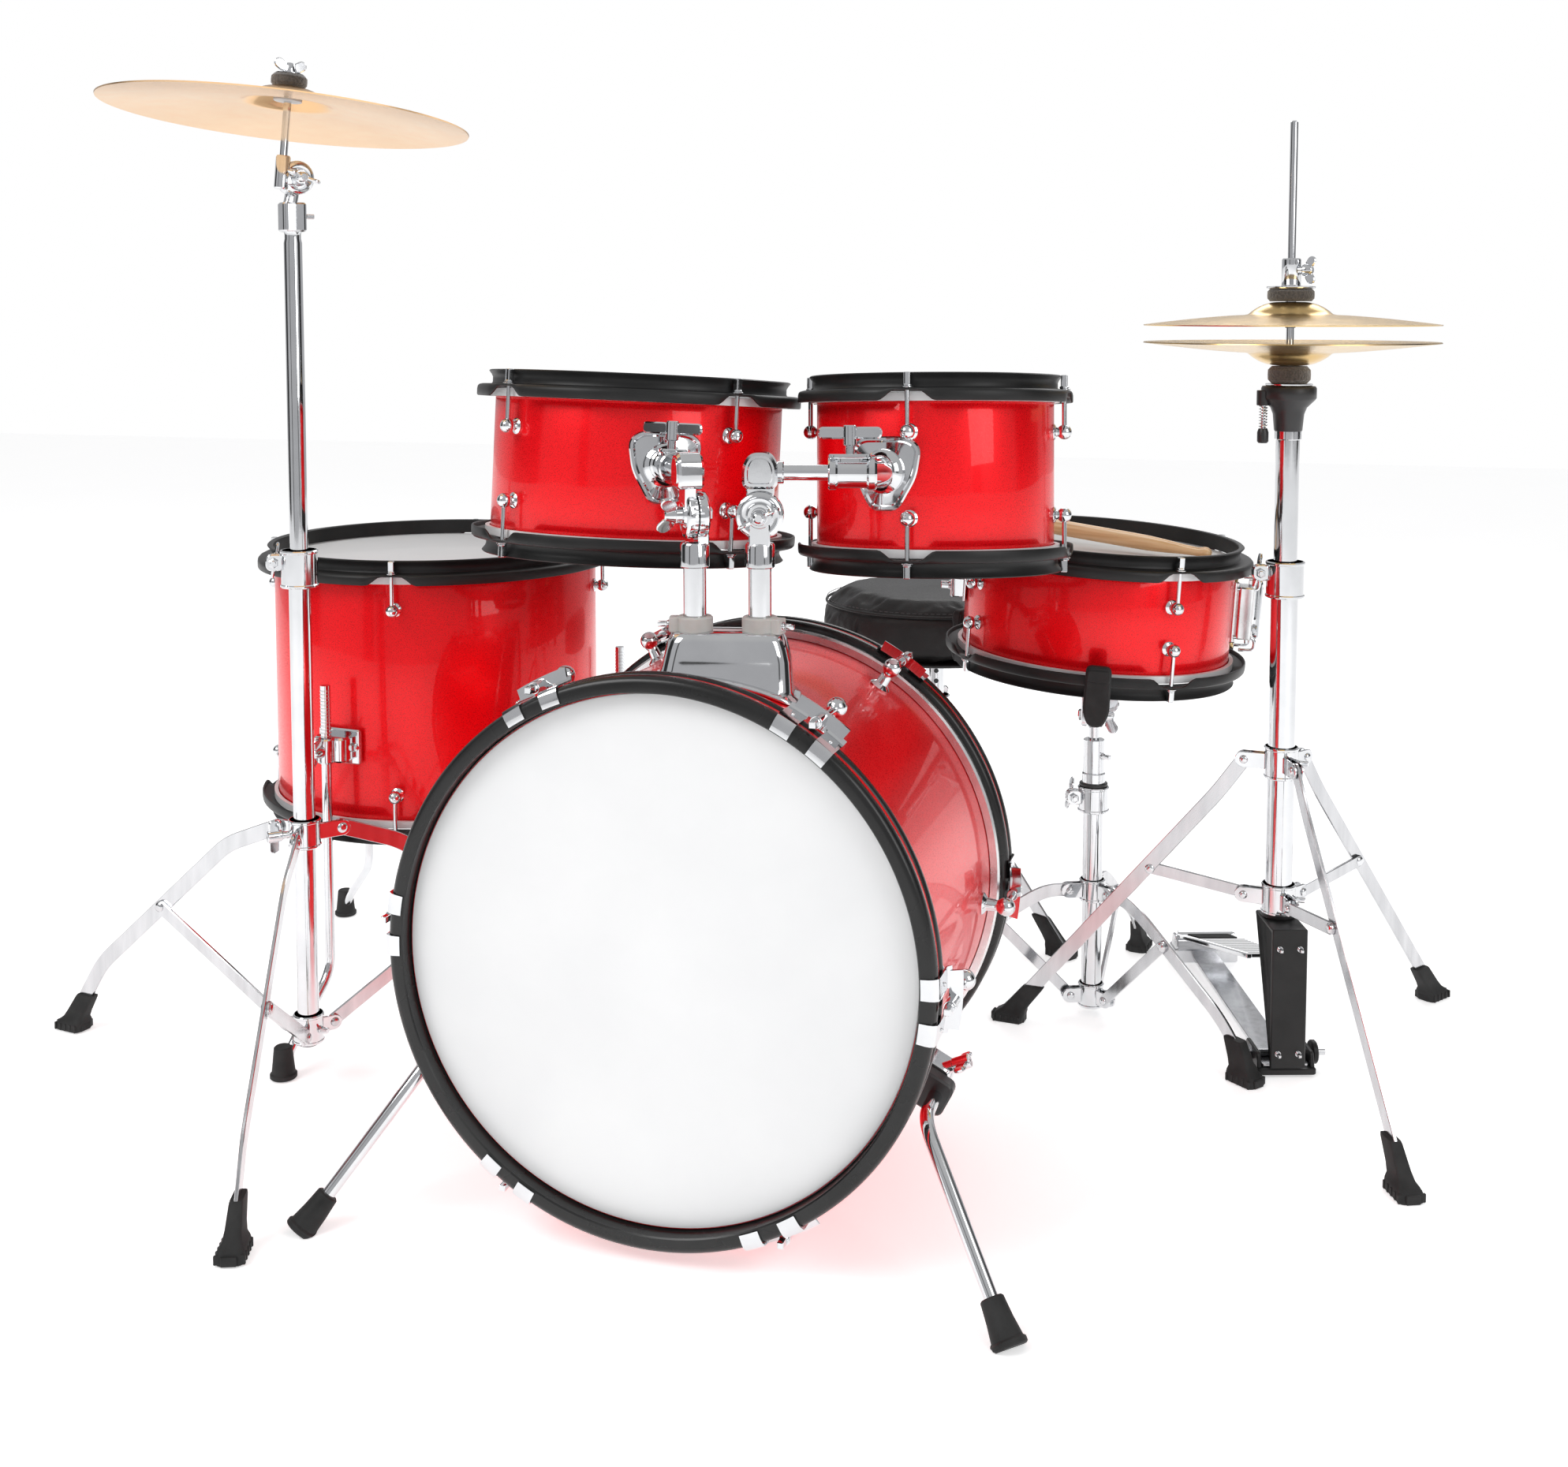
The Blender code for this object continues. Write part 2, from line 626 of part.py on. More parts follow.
def snare_drum():
    place, radius, depth, turn, lugs = SNARE
    frame = axis_empty("snare_axis", place, turn)
    outward = compass(STRAINER_TURN)
    strainer = block(outward * (radius + 0.010), (0.030, 0.024, 0.060), STRAINER_TURN)
    beside = compass(BUTT_TURN) * (radius + 0.006) + Vector((0.0, 0.0, 0.006))
    butt = block(beside, (0.028, 0.018, 0.018), BUTT_TURN)
    plain_drum("snare", radius, depth, frame, lugs, TOM_STEPS, [strainer, butt])
    middle = outward * (radius + 0.0265)
    lever = block(middle + Vector((0.0, 0.0, 0.004)), (0.018, 0.008, 0.062), STRAINER_TURN)
    name_node(lever, "snare_strainer_lever", STEEL, frame)
    sticks(frame)


def sticks(frame):
    """Two sticks side by side, on the hoop at their butts and on the head at their tips."""
    length, radius = STICK_LENGTH, STICK_R
    head = SNARE[2] / 2 - HOOP_RIM
    tip = Vector((0.108, -0.020, head + radius + 2 * GAP))
    back = Vector((-math.cos(STICK_RISE), 0.10, math.sin(STICK_RISE))).normalized()
    pair = []
    for side in (0.0, 1.0):
        start = tip + Vector((0.0, side * radius * 1.82, 0.0))
        pair += [
            rod(start + back * 0.055, start + back * length, radius, 10),
            rod(start + back * 0.010, start + back * 0.056, 0.0042, 10, radius * 0.999),
            ball(start + back * 0.007, 0.0052, 8, 6),
        ]
    name_node(join(*pair), "drumsticks", TIMBER, frame)


# ---- stands ---------------------------------------------------------------------------
def rubber_foot(axis, degrees, reach, low, length=0.030, height=0.022, width=0.020):
    centre = axis + compass(degrees) * reach + Vector((0.0, 0.0, low + height / 2))
    return block(centre, (width, length, height), degrees)


def tripod(axis, turn, tube_r, ear, rivet, foot_r, low_ear, width, bends=()):
    """Legs, braces and feet of a fixed tripod, all to be joined to its tube."""
    pieces = []
    for degrees in (turn, turn + 120, turn - 120):
        frame = leg_plane(axis, degrees)
        line = [(tube_r * 0.93, ear[1]), ear, *bends, (foot_r - 0.008, 0.012)]
        pieces.append(plate(bar_outline(line, width), STAND_PLATE, frame))
        brace_frame = leg_plane(axis, degrees, STAND_PLATE * 0.9)
        brace = [(tube_r * 0.93, low_ear[1]), low_ear, rivet]
        pieces.append(plate(bar_outline(brace, width * 0.85), STAND_PLATE, brace_frame))
        pieces.append(rubber_foot(axis, degrees, foot_r - 0.004, 0.0))
    return pieces


def sleeve_on(axis, outer, inner, low, high, steps=16):
    obj = ring(outer, inner, low, high, steps)
    obj.data.transform(Matrix.Translation(axis))
    return obj


def snare_stand():
    axis, tube = SNARE_STAND, SNARE_TUBE_R
    base = sleeve_on(axis, tube, tube - 0.0015, 0.010, 0.236)
    parts = [
        sleeve_on(axis, 0.0155, tube - 0.0012, 0.214, 0.236),
        sleeve_on(axis, 0.0125, tube - 0.0005, 0.008, 0.032),
        sleeve_on(axis, 0.0125, tube - 0.0005, 0.118, 0.140),
    ]
    parts += tripod(
        axis, SNARE_TURN, tube, (0.046, 0.129), (0.099, 0.099), 0.206, (0.022, 0.020), 0.013,
        [(0.068, 0.119), (0.169, 0.052), (0.190, 0.030)],
    )
    name_node(join(base, *parts, solver="MANIFOLD"), "snare_stand_base", STEEL)
    stem = rod(at(axis, 0.110), at(axis, 0.262), tube - 0.0015 - GAP, 14)
    head = rod(at(axis, 0.2375), at(axis, 0.285), 0.0118, 14)
    pivot = SNARE_PIVOT
    across = Vector((1.0, 0.0, 0.0))
    fork = rod(at(axis, 0.278), pivot + Vector((0.0, 0.004, -0.002)), 0.005, 8)
    knuckle = rod(pivot - across * 0.0045, pivot + across * 0.0045, 0.0125, 12)
    tube_top = join(stem, head, fork, knuckle)
    name_node(carried(tube_top, at(axis, 0.0)), "snare_stand_tube", STEEL)


def snare_basket():
    """Three arms on a hub, each ending in an upright that stands beside the lower hoop."""
    place, radius, depth, turn, _ = SNARE
    spin = Matrix.Translation(place) @ euler_matrix(turn)
    floor = -depth / 2
    hub = rod(Vector((0.0, 0.0, floor - 0.024)), Vector((0.0, 0.0, floor - 0.008)), 0.022, 12)
    pieces = []
    for degrees in SNARE_ARMS:
        outward = compass(degrees)
        reach = radius + HOOP_SKIRT[0] + 0.006
        arm = block(outward * (reach / 2) + Vector((0.0, 0.0, floor - 0.015)),
                    (0.012, reach + 0.012, 0.010), degrees)
        upright = block(outward * (reach + 0.002) + Vector((0.0, 0.0, floor + 0.006)),
                        (0.022, 0.010, 0.052), degrees)
        pieces += [arm, upright]
    basket = join(hub, *pieces)
    basket.data.transform(spin)
    across = Vector((1.0, 0.0, 0.0))
    cheeks = []
    for side in (1, -1):
        cheek = SNARE_PIVOT + across * side * 0.0085
        cheeks.append(block(cheek + Vector((0.0, -0.004, 0.014)), (0.006, 0.022, 0.046)))
    name_node(carried(join(basket, *cheeks), SNARE_PIVOT), "snare_basket", STEEL)


def cymbal(radius, hole, bell_r, bell_h, bow_h, thick, steps, up=1):
    """A bowed disc with a bell, edge at height 0, opening downwards when up is 1."""
    line = [
        (hole, bow_h + bell_h),
        (bell_r * 0.55, bow_h + bell_h * 0.86),
        (bell_r, bow_h),
        (radius * 0.66, bow_h * 0.55),
        (radius, 0.0),
    ]
    under = [(r, z - thick) for r, z in reversed(line)]
    profile = line + under
    if up < 0:
        profile = [(r, -z) for r, z in reversed(profile)]
    return turned(profile, steps, closed=True)


def hihat():
    axis, tube = HAT_AXIS, HAT_TUBE_R
    base = sleeve_on(axis, tube, tube - 0.0015, 0.130, 0.470)
    parts = [
        sleeve_on(axis, 0.0175, tube - 0.001, 0.450, 0.482),
        sleeve_on(axis, 0.0155, tube - 0.0005, 0.272, 0.304),
        sleeve_on(axis, 0.0155, tube - 0.0005, 0.146, 0.176),
    ]
    parts += tripod(
        axis, HAT_TURN, tube, (0.034, 0.291), (0.122, 0.173), 0.266, (0.032, 0.160), 0.014,
        [(0.058, 0.256)],
    )
    parts += pedal_frame(axis)
    name_node(join(base, *parts, solver="MANIFOLD"), "hihat_stand_base", STEEL)
    upper = sleeve_on(axis, tube - 0.0015 - GAP, 0.0060, 0.300, 0.630)
    seat = sleeve_on(axis, 0.0135, 0.0060, 0.600, 0.632)
    cup = sleeve_on(axis, 0.0250, 0.0060, 0.630, 0.648, 20)
    felt = sleeve_on(axis, 0.0190, 0.0060, 0.646, HAT_LOW_Z - HAT_CROWN - GAP, 20)
    name_node(carried(join(upper, seat, cup, felt), at(axis, 0.0)), "hihat_upper_tube", STEEL)
    pull = rod(at(axis, 0.122), at(axis, HAT_ROD_TOP), HAT_ROD_R, 10)
    clutch = rod(at(axis, HAT_TOP_Z + HAT_CROWN + GAP), at(axis, 0.764), 0.0105, 12)
    low_nut = rod(at(axis, HAT_TOP_Z + 0.010), at(axis, HAT_TOP_Z + HAT_CROWN - 0.0013 - GAP),
                  0.0100, 12)
    neck = rod(at(axis, 0.700), at(axis, 0.760), 0.0048, 10)
    name_node(carried(join(pull, clutch, low_nut, neck), at(axis, 0.0)), "hihat_pull_rod", STEEL)
    top = cymbal(HAT_R, 0.0055, 0.040, 0.012, HAT_BOW, 0.0010, TOM_STEPS)
    top.location = at(axis, HAT_TOP_Z)
    name_node(top, "hihat_top_cymbal", BRONZE)
    low = cymbal(HAT_R, 0.0055, 0.040, 0.012, HAT_BOW, 0.0010, TOM_STEPS, -1)
    low.location = at(axis, HAT_LOW_Z)
    name_node(low, "hihat_bottom_cymbal", BRONZE)
    footboard(axis)


def pedal_frame(axis):
    """The bow in front of the tube, its foot block and the struts to the heel plate."""
    out = compass(180 + PEDAL_TURN)
    side = out.cross(Vector((0.0, 0.0, 1.0)))
    frame_turn = math.degrees(math.atan2(side.y, side.x))
    bore = rod(at(axis, 0.130), at(axis, 0.150), HAT_ROD_R + 0.002, 10)
    crown = at(axis, 0.140) - out * (BOW_FRONT - 0.018) / 2
    pieces = [cut(block(crown, (BOW_WIDTH, BOW_FRONT + 0.018, 0.005), frame_turn), bore)]
    strap = at(axis, 0.0755) - out * (BOW_FRONT - STAND_PLATE / 2)
    pieces.append(block(strap, (BOW_WIDTH, STAND_PLATE, 0.134), frame_turn))
    foot = at(axis, 0.0125) - out * (BOW_FRONT - 0.026)
    pieces.append(block(foot, (0.056, 0.050, 0.025), frame_turn))
    for sign in (1, -1):
        start = at(axis, 0.004) + out * 0.008
        end = at(axis, 0.004) + out * (PEDAL_HEEL + 0.010)
        shift = side * sign * 0.012
        middle = (start + end) / 2 + shift
        pieces.append(block(middle, (0.006, (end - start).length, 0.008), frame_turn))
    heel = at(axis, 0.008) + out * (PEDAL_HEEL + 0.002)
    pieces.append(block(heel, (0.072, 0.030, 0.016), frame_turn))
    return pieces


def footboard(axis):
    """The ribbed board, hinged at the heel plate with its toe end raised near the tube."""
    out = compass(180 + PEDAL_TURN)
    side = out.cross(Vector((0.0, 0.0, 1.0)))
    heel = at(axis, 0.028) + out * (PEDAL_HEEL - 0.002)
    toe = at(axis, 0.092) + out * 0.030
    length = (toe - heel).length
    along_board = (toe - heel).normalized()
    up = side.cross(along_board)
    up = up if up.z > 0 else -up
    turn = Matrix((along_board, up.cross(along_board), up)).transposed().to_4x4()
    board = piece(
        lambda shape: bmesh.ops.create_cube(shape, size=1.0),
        Matrix.Translation((heel + toe) / 2) @ turn @ Matrix.Diagonal((length, 0.066, 0.006, 1.0)),
    )
    knuckle = rod(heel - side * 0.030, heel + side * 0.030, 0.0055, 10)
    name_node(carried(join(board, knuckle), heel), "hihat_footboard", STEEL)


def crash_stand():
    axis, tube = CRASH_AXIS, CRASH_TUBE_R
    lower = sleeve_on(axis, tube, tube - 0.0015, 0.045, 0.490)
    parts = [
        sleeve_on(axis, 0.0165, tube - 0.0010, 0.470, 0.500),
        sleeve_on(axis, 0.0135, tube - 0.0005, 0.0425, 0.0693),
    ]
    for degrees in LEG_DEGREES:
        ear = bar_outline([(tube * 0.9, CRASH_LOW_EAR[1]), (0.031, CRASH_LOW_EAR[1])], 0.014)
        parts.append(plate(ear, STAND_PLATE, leg_plane(axis, degrees)))
    name_node(join(lower, *parts, solver="MANIFOLD"), "crash_lower_tube", STEEL)
    collar = sleeve_on(axis, 0.0145, tube + GAP, 0.226, 0.252)
    ears = []
    for degrees in LEG_DEGREES:
        ear = bar_outline([(0.0125, CRASH_EAR[1]), (CRASH_EAR[0] + 0.008, CRASH_EAR[1])], 0.016)
        ears.append(plate(ear, STAND_PLATE, leg_plane(axis, degrees, LEG_LAYER)))
    name_node(carried(join(collar, *ears), at(axis, 0.0)), "crash_leg_collar", STEEL)
    for degrees, letter in zip(LEG_DEGREES, "abc"):
        crash_leg(axis, degrees, letter)
    stem = rod(at(axis, CRASH_STEM_FOOT), at(axis, 0.800), tube - 0.0015 - GAP, 14)
    cap = rod(at(axis, 0.792), at(axis, 0.812), 0.0095, 14)
    pivot, back = crash_pivot(), compass(CRASH_SWING + 180.0)
    arm = rod(at(axis, 0.806) + back * 0.0085, pivot + back * 0.0064 - Vector((0.0, 0.0, 0.004)),
              0.0050, 8)
    cheek = rod(pivot + back * 0.0004, pivot + back * 0.012, 0.0150, 16)
    name_node(carried(join(stem, cap, arm, cheek), at(axis, 0.0)), "crash_upper_tube", STEEL)
    tilter_and_cymbal()


def crash_leg(axis, degrees, letter):
    line = [(CRASH_EAR[0] - 0.006, CRASH_EAR[1] + 0.002), (0.093, 0.216), CRASH_RIVET,
            (0.260, 0.073), (CRASH_FOOT_R - 0.006, 0.014)]
    leg = plate(bar_outline(line, 0.015), STAND_PLATE, leg_plane(axis, degrees))
    foot = rubber_foot(axis, degrees, CRASH_FOOT_R - 0.004, HOVER)
    pivot = axis + compass(degrees) * CRASH_EAR[0] + Vector((0.0, 0.0, CRASH_EAR[1]))
    name_node(carried(join(leg, foot), pivot), "crash_leg_" + letter, STEEL)
    low = Vector((CRASH_LOW_EAR[0], CRASH_LOW_EAR[1]))
    high = Vector(CRASH_RIVET)
    over = (high - low).normalized() * 0.006
    brace = bar_outline([low - over, high + over], 0.013)
    obj = plate(brace, STAND_PLATE, leg_plane(axis, degrees, -LEG_LAYER))
    pivot = axis + compass(degrees) * CRASH_LOW_EAR[0] + Vector((0.0, 0.0, CRASH_LOW_EAR[1]))
    name_node(carried(obj, pivot), "crash_brace_" + letter, STEEL)


def crash_pivot():
    """The middle of the tilter's ratchet."""
    along, across = compass(CRASH_SWING + 90.0), compass(CRASH_SWING + 180.0)
    shift = along * CRASH_PIVOT_SHIFT.x + across * CRASH_PIVOT_SHIFT.y
    return at(CRASH_AXIS + shift, CRASH_PIVOT_Z)


def tilter_and_cymbal():
    """The tilter's moving half with the cymbal rod and felts, and the cymbal on them."""
    frame = axis_empty("crash_rod_axis", crash_pivot(), (0.0, CRASH_LEAN, CRASH_SWING))
    cheek = rod((0.0, -0.0004, 0.0), (0.0, -0.012, 0.0), 0.0150, 16)
    x, y = CRASH_ROD
    socket = rod((x, y, -0.012), (x, y, 0.018), 0.0064, 12)
    stem = rod((x, y, 0.006), (x, y, 0.098), 0.0034, 10)
    under = rod((x, y, 0.060), (x, y, CRASH_FELT_Z - 0.0014), 0.0125, 14)
    over = rod((x, y, CRASH_FELT_Z + 0.0013 + GAP), (x, y, 0.0895), 0.0140, 14)
    name_node(join(cheek, socket, stem, under, over), "crash_tilter", STEEL, frame)
    disc = cymbal(CRASH_R, 0.0065, 0.040, 0.014, 0.012, 0.0012, BIG_STEPS)
    disc.location = (x, y, CRASH_FELT_Z + 0.0012 - 0.026)
    name_node(disc, "crash_cymbal", BRONZE, frame)


def throne():
    axis, tube = THRONE_AXIS, THRONE_TUBE_R
    base = sleeve_on(axis, tube, tube - 0.0015, 0.030, 0.250)
    parts = [
        sleeve_on(axis, 0.0175, tube - 0.0010, 0.232, 0.262),
        sleeve_on(axis, 0.0150, tube - 0.0005, 0.030, 0.054),
        sleeve_on(axis, 0.0150, tube - 0.0005, 0.160, 0.184),
    ]
    parts += tripod(
        axis, THRONE_TURN, tube, (0.034, 0.172), (0.110, 0.106), 0.205, (0.030, 0.042), 0.015
    )
    name_node(join(base, *parts, solver="MANIFOLD"), "throne_base", STEEL)
    low = SEAT_TOP - SEAT_HEIGHT
    stem = rod(at(axis, 0.110), at(axis, low - 0.006), tube - 0.0015 - GAP, 14)
    flange = rod(at(axis, low - 0.010), at(axis, low - GAP), 0.040, 16)
    name_node(carried(join(stem, flange), at(axis, 0.0)), "throne_post", STEEL)
    profile = [
        (0.0, SEAT_TOP), (SEAT_R - 0.030, SEAT_TOP - 0.001), (SEAT_R - 0.008, SEAT_TOP - 0.010),
        (SEAT_R, SEAT_TOP - 0.024), (SEAT_R, low + 0.010), (SEAT_R - 0.006, low), (0.0, low),
    ]
    seat = turned(profile, BIG_STEPS)
    seat.location = axis
    name_node(seat, "throne_seat", VINYL)


# ---- the kit --------------------------------------------------------------------------
clear_scene()
KIT = new_collection("drum_kit")
CUTTERS = new_collection("cutters")
KIT_FRAME = add_object("kit_frame", None)
KIT_FRAME.location = -KIT_CENTRE

LACQUER = finish_of("red_sparkle_lacquer", RED, 0.18, 0.6)
FILM = finish_of("white_film", WHITE, 0.35, 0.0)
PAINT = finish_of("satin_black", BLACK, 0.38, 0.2)
STEEL = finish_of("chrome", CHROME, 0.10, 1.0)
BRONZE = finish_of("cymbal_brass", BRASS, 0.22, 1.0)
TIMBER = finish_of("maple", WOOD, 0.45, 0.0)
VINYL = finish_of("black_vinyl", BLACK, 0.50, 0.0)

bass_drum()
spur(1, "spur_right")
spur(-1, "spur_left")
tom_mount()
rack_tom("left_tom", LEFT_TOM, LEFT_POST, at(LEFT_TOM[0] - LEFT_POST, 0.0).normalized(), LEFT_REACH)
rack_tom("right_tom", RIGHT_TOM, RIGHT_POST, compass(RIGHT_ARM_TURN), RIGHT_REACH)
floor_tom()
snare_drum()
snare_stand()
snare_basket()
hihat()
crash_stand()
throne()
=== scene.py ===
"""Looks of the junior drum kit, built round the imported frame. Metres, +Z up, the audience at -Y."""

import json
import math

import bmesh
import bpy
from mathutils import Matrix, Vector

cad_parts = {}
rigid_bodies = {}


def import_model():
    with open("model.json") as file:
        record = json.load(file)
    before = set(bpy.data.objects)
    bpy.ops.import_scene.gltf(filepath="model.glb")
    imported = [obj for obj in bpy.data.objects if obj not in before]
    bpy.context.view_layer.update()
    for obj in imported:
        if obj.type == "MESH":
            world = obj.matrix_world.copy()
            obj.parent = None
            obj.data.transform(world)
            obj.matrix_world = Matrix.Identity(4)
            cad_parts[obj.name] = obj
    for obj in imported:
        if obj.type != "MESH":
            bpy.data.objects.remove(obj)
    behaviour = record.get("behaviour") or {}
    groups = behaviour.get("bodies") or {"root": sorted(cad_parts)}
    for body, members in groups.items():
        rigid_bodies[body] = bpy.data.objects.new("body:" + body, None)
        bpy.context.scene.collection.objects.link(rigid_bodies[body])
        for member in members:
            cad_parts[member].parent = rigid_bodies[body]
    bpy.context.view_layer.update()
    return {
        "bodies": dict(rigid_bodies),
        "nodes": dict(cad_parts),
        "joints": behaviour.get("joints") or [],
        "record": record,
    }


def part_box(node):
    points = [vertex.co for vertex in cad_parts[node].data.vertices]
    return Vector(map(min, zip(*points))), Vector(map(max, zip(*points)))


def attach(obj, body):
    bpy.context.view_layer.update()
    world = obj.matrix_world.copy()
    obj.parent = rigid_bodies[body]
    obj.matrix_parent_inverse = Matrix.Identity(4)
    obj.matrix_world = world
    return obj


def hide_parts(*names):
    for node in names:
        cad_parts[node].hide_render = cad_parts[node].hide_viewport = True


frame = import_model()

JOINTS = {joint["name"]: joint for joint in frame["joints"]}
UP = Vector((0.0, 0.0, 1.0))
HERE = Matrix.Identity(4)

# ---- driving dimensions, the same as the design's ---------------------------------------
GAP = 0.0003
SHELL_WALL = 0.006
FLESH_REACH, FLESH_DROP = 0.0046, 0.008
HOOP_STEEL, HOOP_RIM, HOOP_LIP = 0.0022, 0.015, 0.0035
SKIRT_REACH, SKIRT_HEIGHT = 0.0165, 0.0105
LUG_REACH, LUG_DROP, ROD_R = 0.0095, 0.033, 0.002
SNARE_DEPTH = 0.135
TOMS = {                                    # radius, and the lugs' angles from +X towards +Y
    "left_tom": (0.127, (-123, -33, 57, 147)),
    "right_tom": (0.1015, (-90, 0, 90, 180)),
    "floor_tom": (0.165, (-77, 13, 103, 193)),
    "snare": (0.13, (-143, -53, 37, 127)),
}
BASS_R, BASS_HOOP_R, BASS_HOOP_WIDTH = 0.203, 0.2175, 0.03
BASS_LUGS = (177, 117, 57, -3, -63, -123)
BASS_LUG_BACK, BASS_ROD_OUT = 0.078, 0.021
CLAW_HALF = 4.4                             # degrees from a claw's middle to each prong
POST_R, SLEEVE_R, ARM_R = 0.009, 0.0116, 0.0062
POST_TOP, MOUNT_TOP = 0.53, 0.465
ARM_Z = 0.59
FLOOR_LEGS, FLOOR_LEG_OUT, FLOOR_FOOT_OUT = (-7, -127, 113), 0.19, 0.262
PLATE = 0.003                               # thickness of the stands' flat bars
HOVER = 0.0008                              # movable feet stop this far above the floor


def pivot(joint):
    return Vector(JOINTS[joint]["pos_m"])


def middle(node):
    low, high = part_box(node)
    return (low + high) / 2


def level(point, height):
    return Vector((point.x, point.y, height))


def compass(degrees):
    """The level direction that many degrees round from -Y towards +X."""
    angle = math.radians(degrees)
    return Vector((math.sin(angle), -math.cos(angle), 0.0))


def axes(origin, x, y, z):
    return Matrix.Translation(origin) @ Matrix((x, y, z)).transposed().to_4x4()


def facing(origin, z, x_hint=None):
    """A frame at origin whose Z runs along z, with X as near to x_hint as it can be."""
    z = Vector(z).normalized()
    hint = Vector(x_hint) if x_hint is not None else (UP if abs(z.z) < 0.9 else Vector((1, 0, 0)))
    x = (hint - z * hint.dot(z)).normalized()
    return axes(origin, x, z.cross(x), z)


def polar(radius, degrees, height=0.0):
    angle = math.radians(degrees)
    return Vector((radius * math.cos(angle), radius * math.sin(angle), height))


def standing(axis):
    """The upright frame on the floor under axis."""
    return Matrix.Translation(level(axis, 0.0))


def on_tube(axis, height, degrees, reach, hint=None):
    """A frame facing outwards, reach from the upright axis at a height."""
    outward = compass(degrees)
    return facing(level(axis, height) + outward * reach, outward, hint)


def thirds(degrees):
    return degrees, degrees + 120, degrees - 120


def flipped(line, side):
    """(radius, height) points, turned upside down where side is -1."""
    return [(r, side * z) for r, z in line]


# ---- camera and light -------------------------------------------------------------------
LENS, SENSOR = 40.82, 36.0
EYE = middle("bass_front_hoop") + Vector((0.459, -1.2248, 0.4873))
YAW, PITCH = 0.285, 0.074
SHIFT_Y = -0.1856
WALL_PANELS = (                             # degrees from -Y towards -X, and how bright
    (0, 0.5), (17, 0.5), (19, 0.08), (25, 0.08), (27, 0.52), (60, 0.52), (64, 0.04),
    (92, 0.03), (97, 0.46), (140, 0.5), (220, 0.5), (229, 0.46), (234, 0.03), (262, 0.04),
    (267, 0.5), (302, 0.5), (305, 0.14), (311, 0.14), (314, 0.5), (360, 0.5),
)
CEILING = 0.56
CEILING_FROM, CEILING_FULL = 0.45, 0.8     # the rise of a direction where the ceiling takes over
WHITE = (1.0, 1.0, 1.0, 1.0)
LIGHTS = (                                  # name, place, target, size and watts
    ("key", (-1.6, -2.2, 2.6), (0.0, 0.0, 0.35), (1.8, 1.4), 46.0),
    ("fill", (2.4, -1.6, 1.7), (0.0, 0.0, 0.35), (1.2, 1.8), 22.0),
    ("back", (0.4, 2.4, 2.3), (0.0, 0.0, 0.4), (2.4, 1.0), 26.0),
)
FLOOR_HALF = 7.0                            # metres from the middle to each side


def add_camera():
    data = bpy.data.cameras.new("camera")
    data.lens = LENS
    data.sensor_width = SENSOR
    data.shift_y = SHIFT_Y
    data.clip_end = 50.0
    camera = bpy.data.objects.new("camera", data)
    camera.location = EYE
    camera.rotation_euler = (math.pi / 2 - PITCH, 0.0, YAW)
    bpy.context.scene.collection.objects.link(camera)
    bpy.context.scene.camera = camera


def area_light(name, place, target, size, power):
    data = bpy.data.lights.new(name, "AREA")
    data.shape = "RECTANGLE"
    data.size, data.size_y = size
    data.energy = power
    light = bpy.data.objects.new(name, data)
    light.location = place
    light.rotation_euler = (Vector(target) - Vector(place)).to_track_quat("-Z", "Y").to_euler()
    bpy.context.scene.collection.objects.link(light)


def add_node(tree, kind, links=(), settings=None, **values):
    """A node with its settings, its sockets' values and the links that feed it."""
    node = tree.nodes.new("ShaderNode" + kind)
    for name, value in (settings or {}).items():
        setattr(node, name, value)
    for socket, value in values.items():
        node.inputs[socket.replace("_", " ")].default_value = value
    for socket, source in links:
        tree.links.new(source, node.inputs[socket])
    return node


def fill_ramp(node, stops):
    """Sets a ramp to (position, colour) stops. A colour is a grey value or three numbers."""
    elements = node.color_ramp.elements
    while len(elements) < len(stops):
        elements.new(0.5)
    for element, (spot, colour) in zip(elements, stops):
        element.position = spot
        element.color = (*colour, 1.0) if hasattr(colour, "__len__") else (colour,) * 3 + (1.0,)


def add_world():
    """A pale studio with dark panels at both sides, so that chrome has edges."""
    bpy.context.scene.view_settings.view_transform = "Standard"
    world = bpy.data.worlds.new("studio")
    world.use_nodes = True
    bpy.context.scene.world = world
    tree, rgba = world.node_tree, {"data_type": "RGBA"}
    ray = add_node(tree, "TexCoord").outputs["Generated"]
    split = add_node(tree, "SeparateXYZ", [(0, ray)])
    wall = add_node(tree, "Math", [(0, split.outputs["X"]), (1, split.outputs["Y"])],
                    {"operation": "ARCTAN2"})
    turn = add_node(tree, "MapRange", [("Value", wall.outputs[0])], From_Min=-math.pi, From_Max=math.pi)
    panels = add_node(tree, "ValToRGB", [("Fac", turn.outputs[0])])
    fill_ramp(panels, [(spot / 360, (shade, shade, shade * 1.02)) for spot, shade in WALL_PANELS])
    rise = add_node(tree, "MapRange", [("Value", split.outputs["Z"])],
                    From_Min=CEILING_FROM, From_Max=CEILING_FULL)
    ceiling = add_node(tree, "Mix", [("Factor", rise.outputs[0]), ("A", panels.outputs[0])],
                       rgba, B=(CEILING, CEILING, CEILING, 1.0))
    seen = add_node(tree, "LightPath").outputs["Is Camera Ray"]
    mix = add_node(tree, "Mix", [("Factor", seen), ("A", ceiling.outputs["Result"])], rgba, B=WHITE)
    background = tree.nodes["Background"]
    tree.links.new(mix.outputs["Result"], background.inputs["Color"])
    background.inputs["Strength"].default_value = 1.0


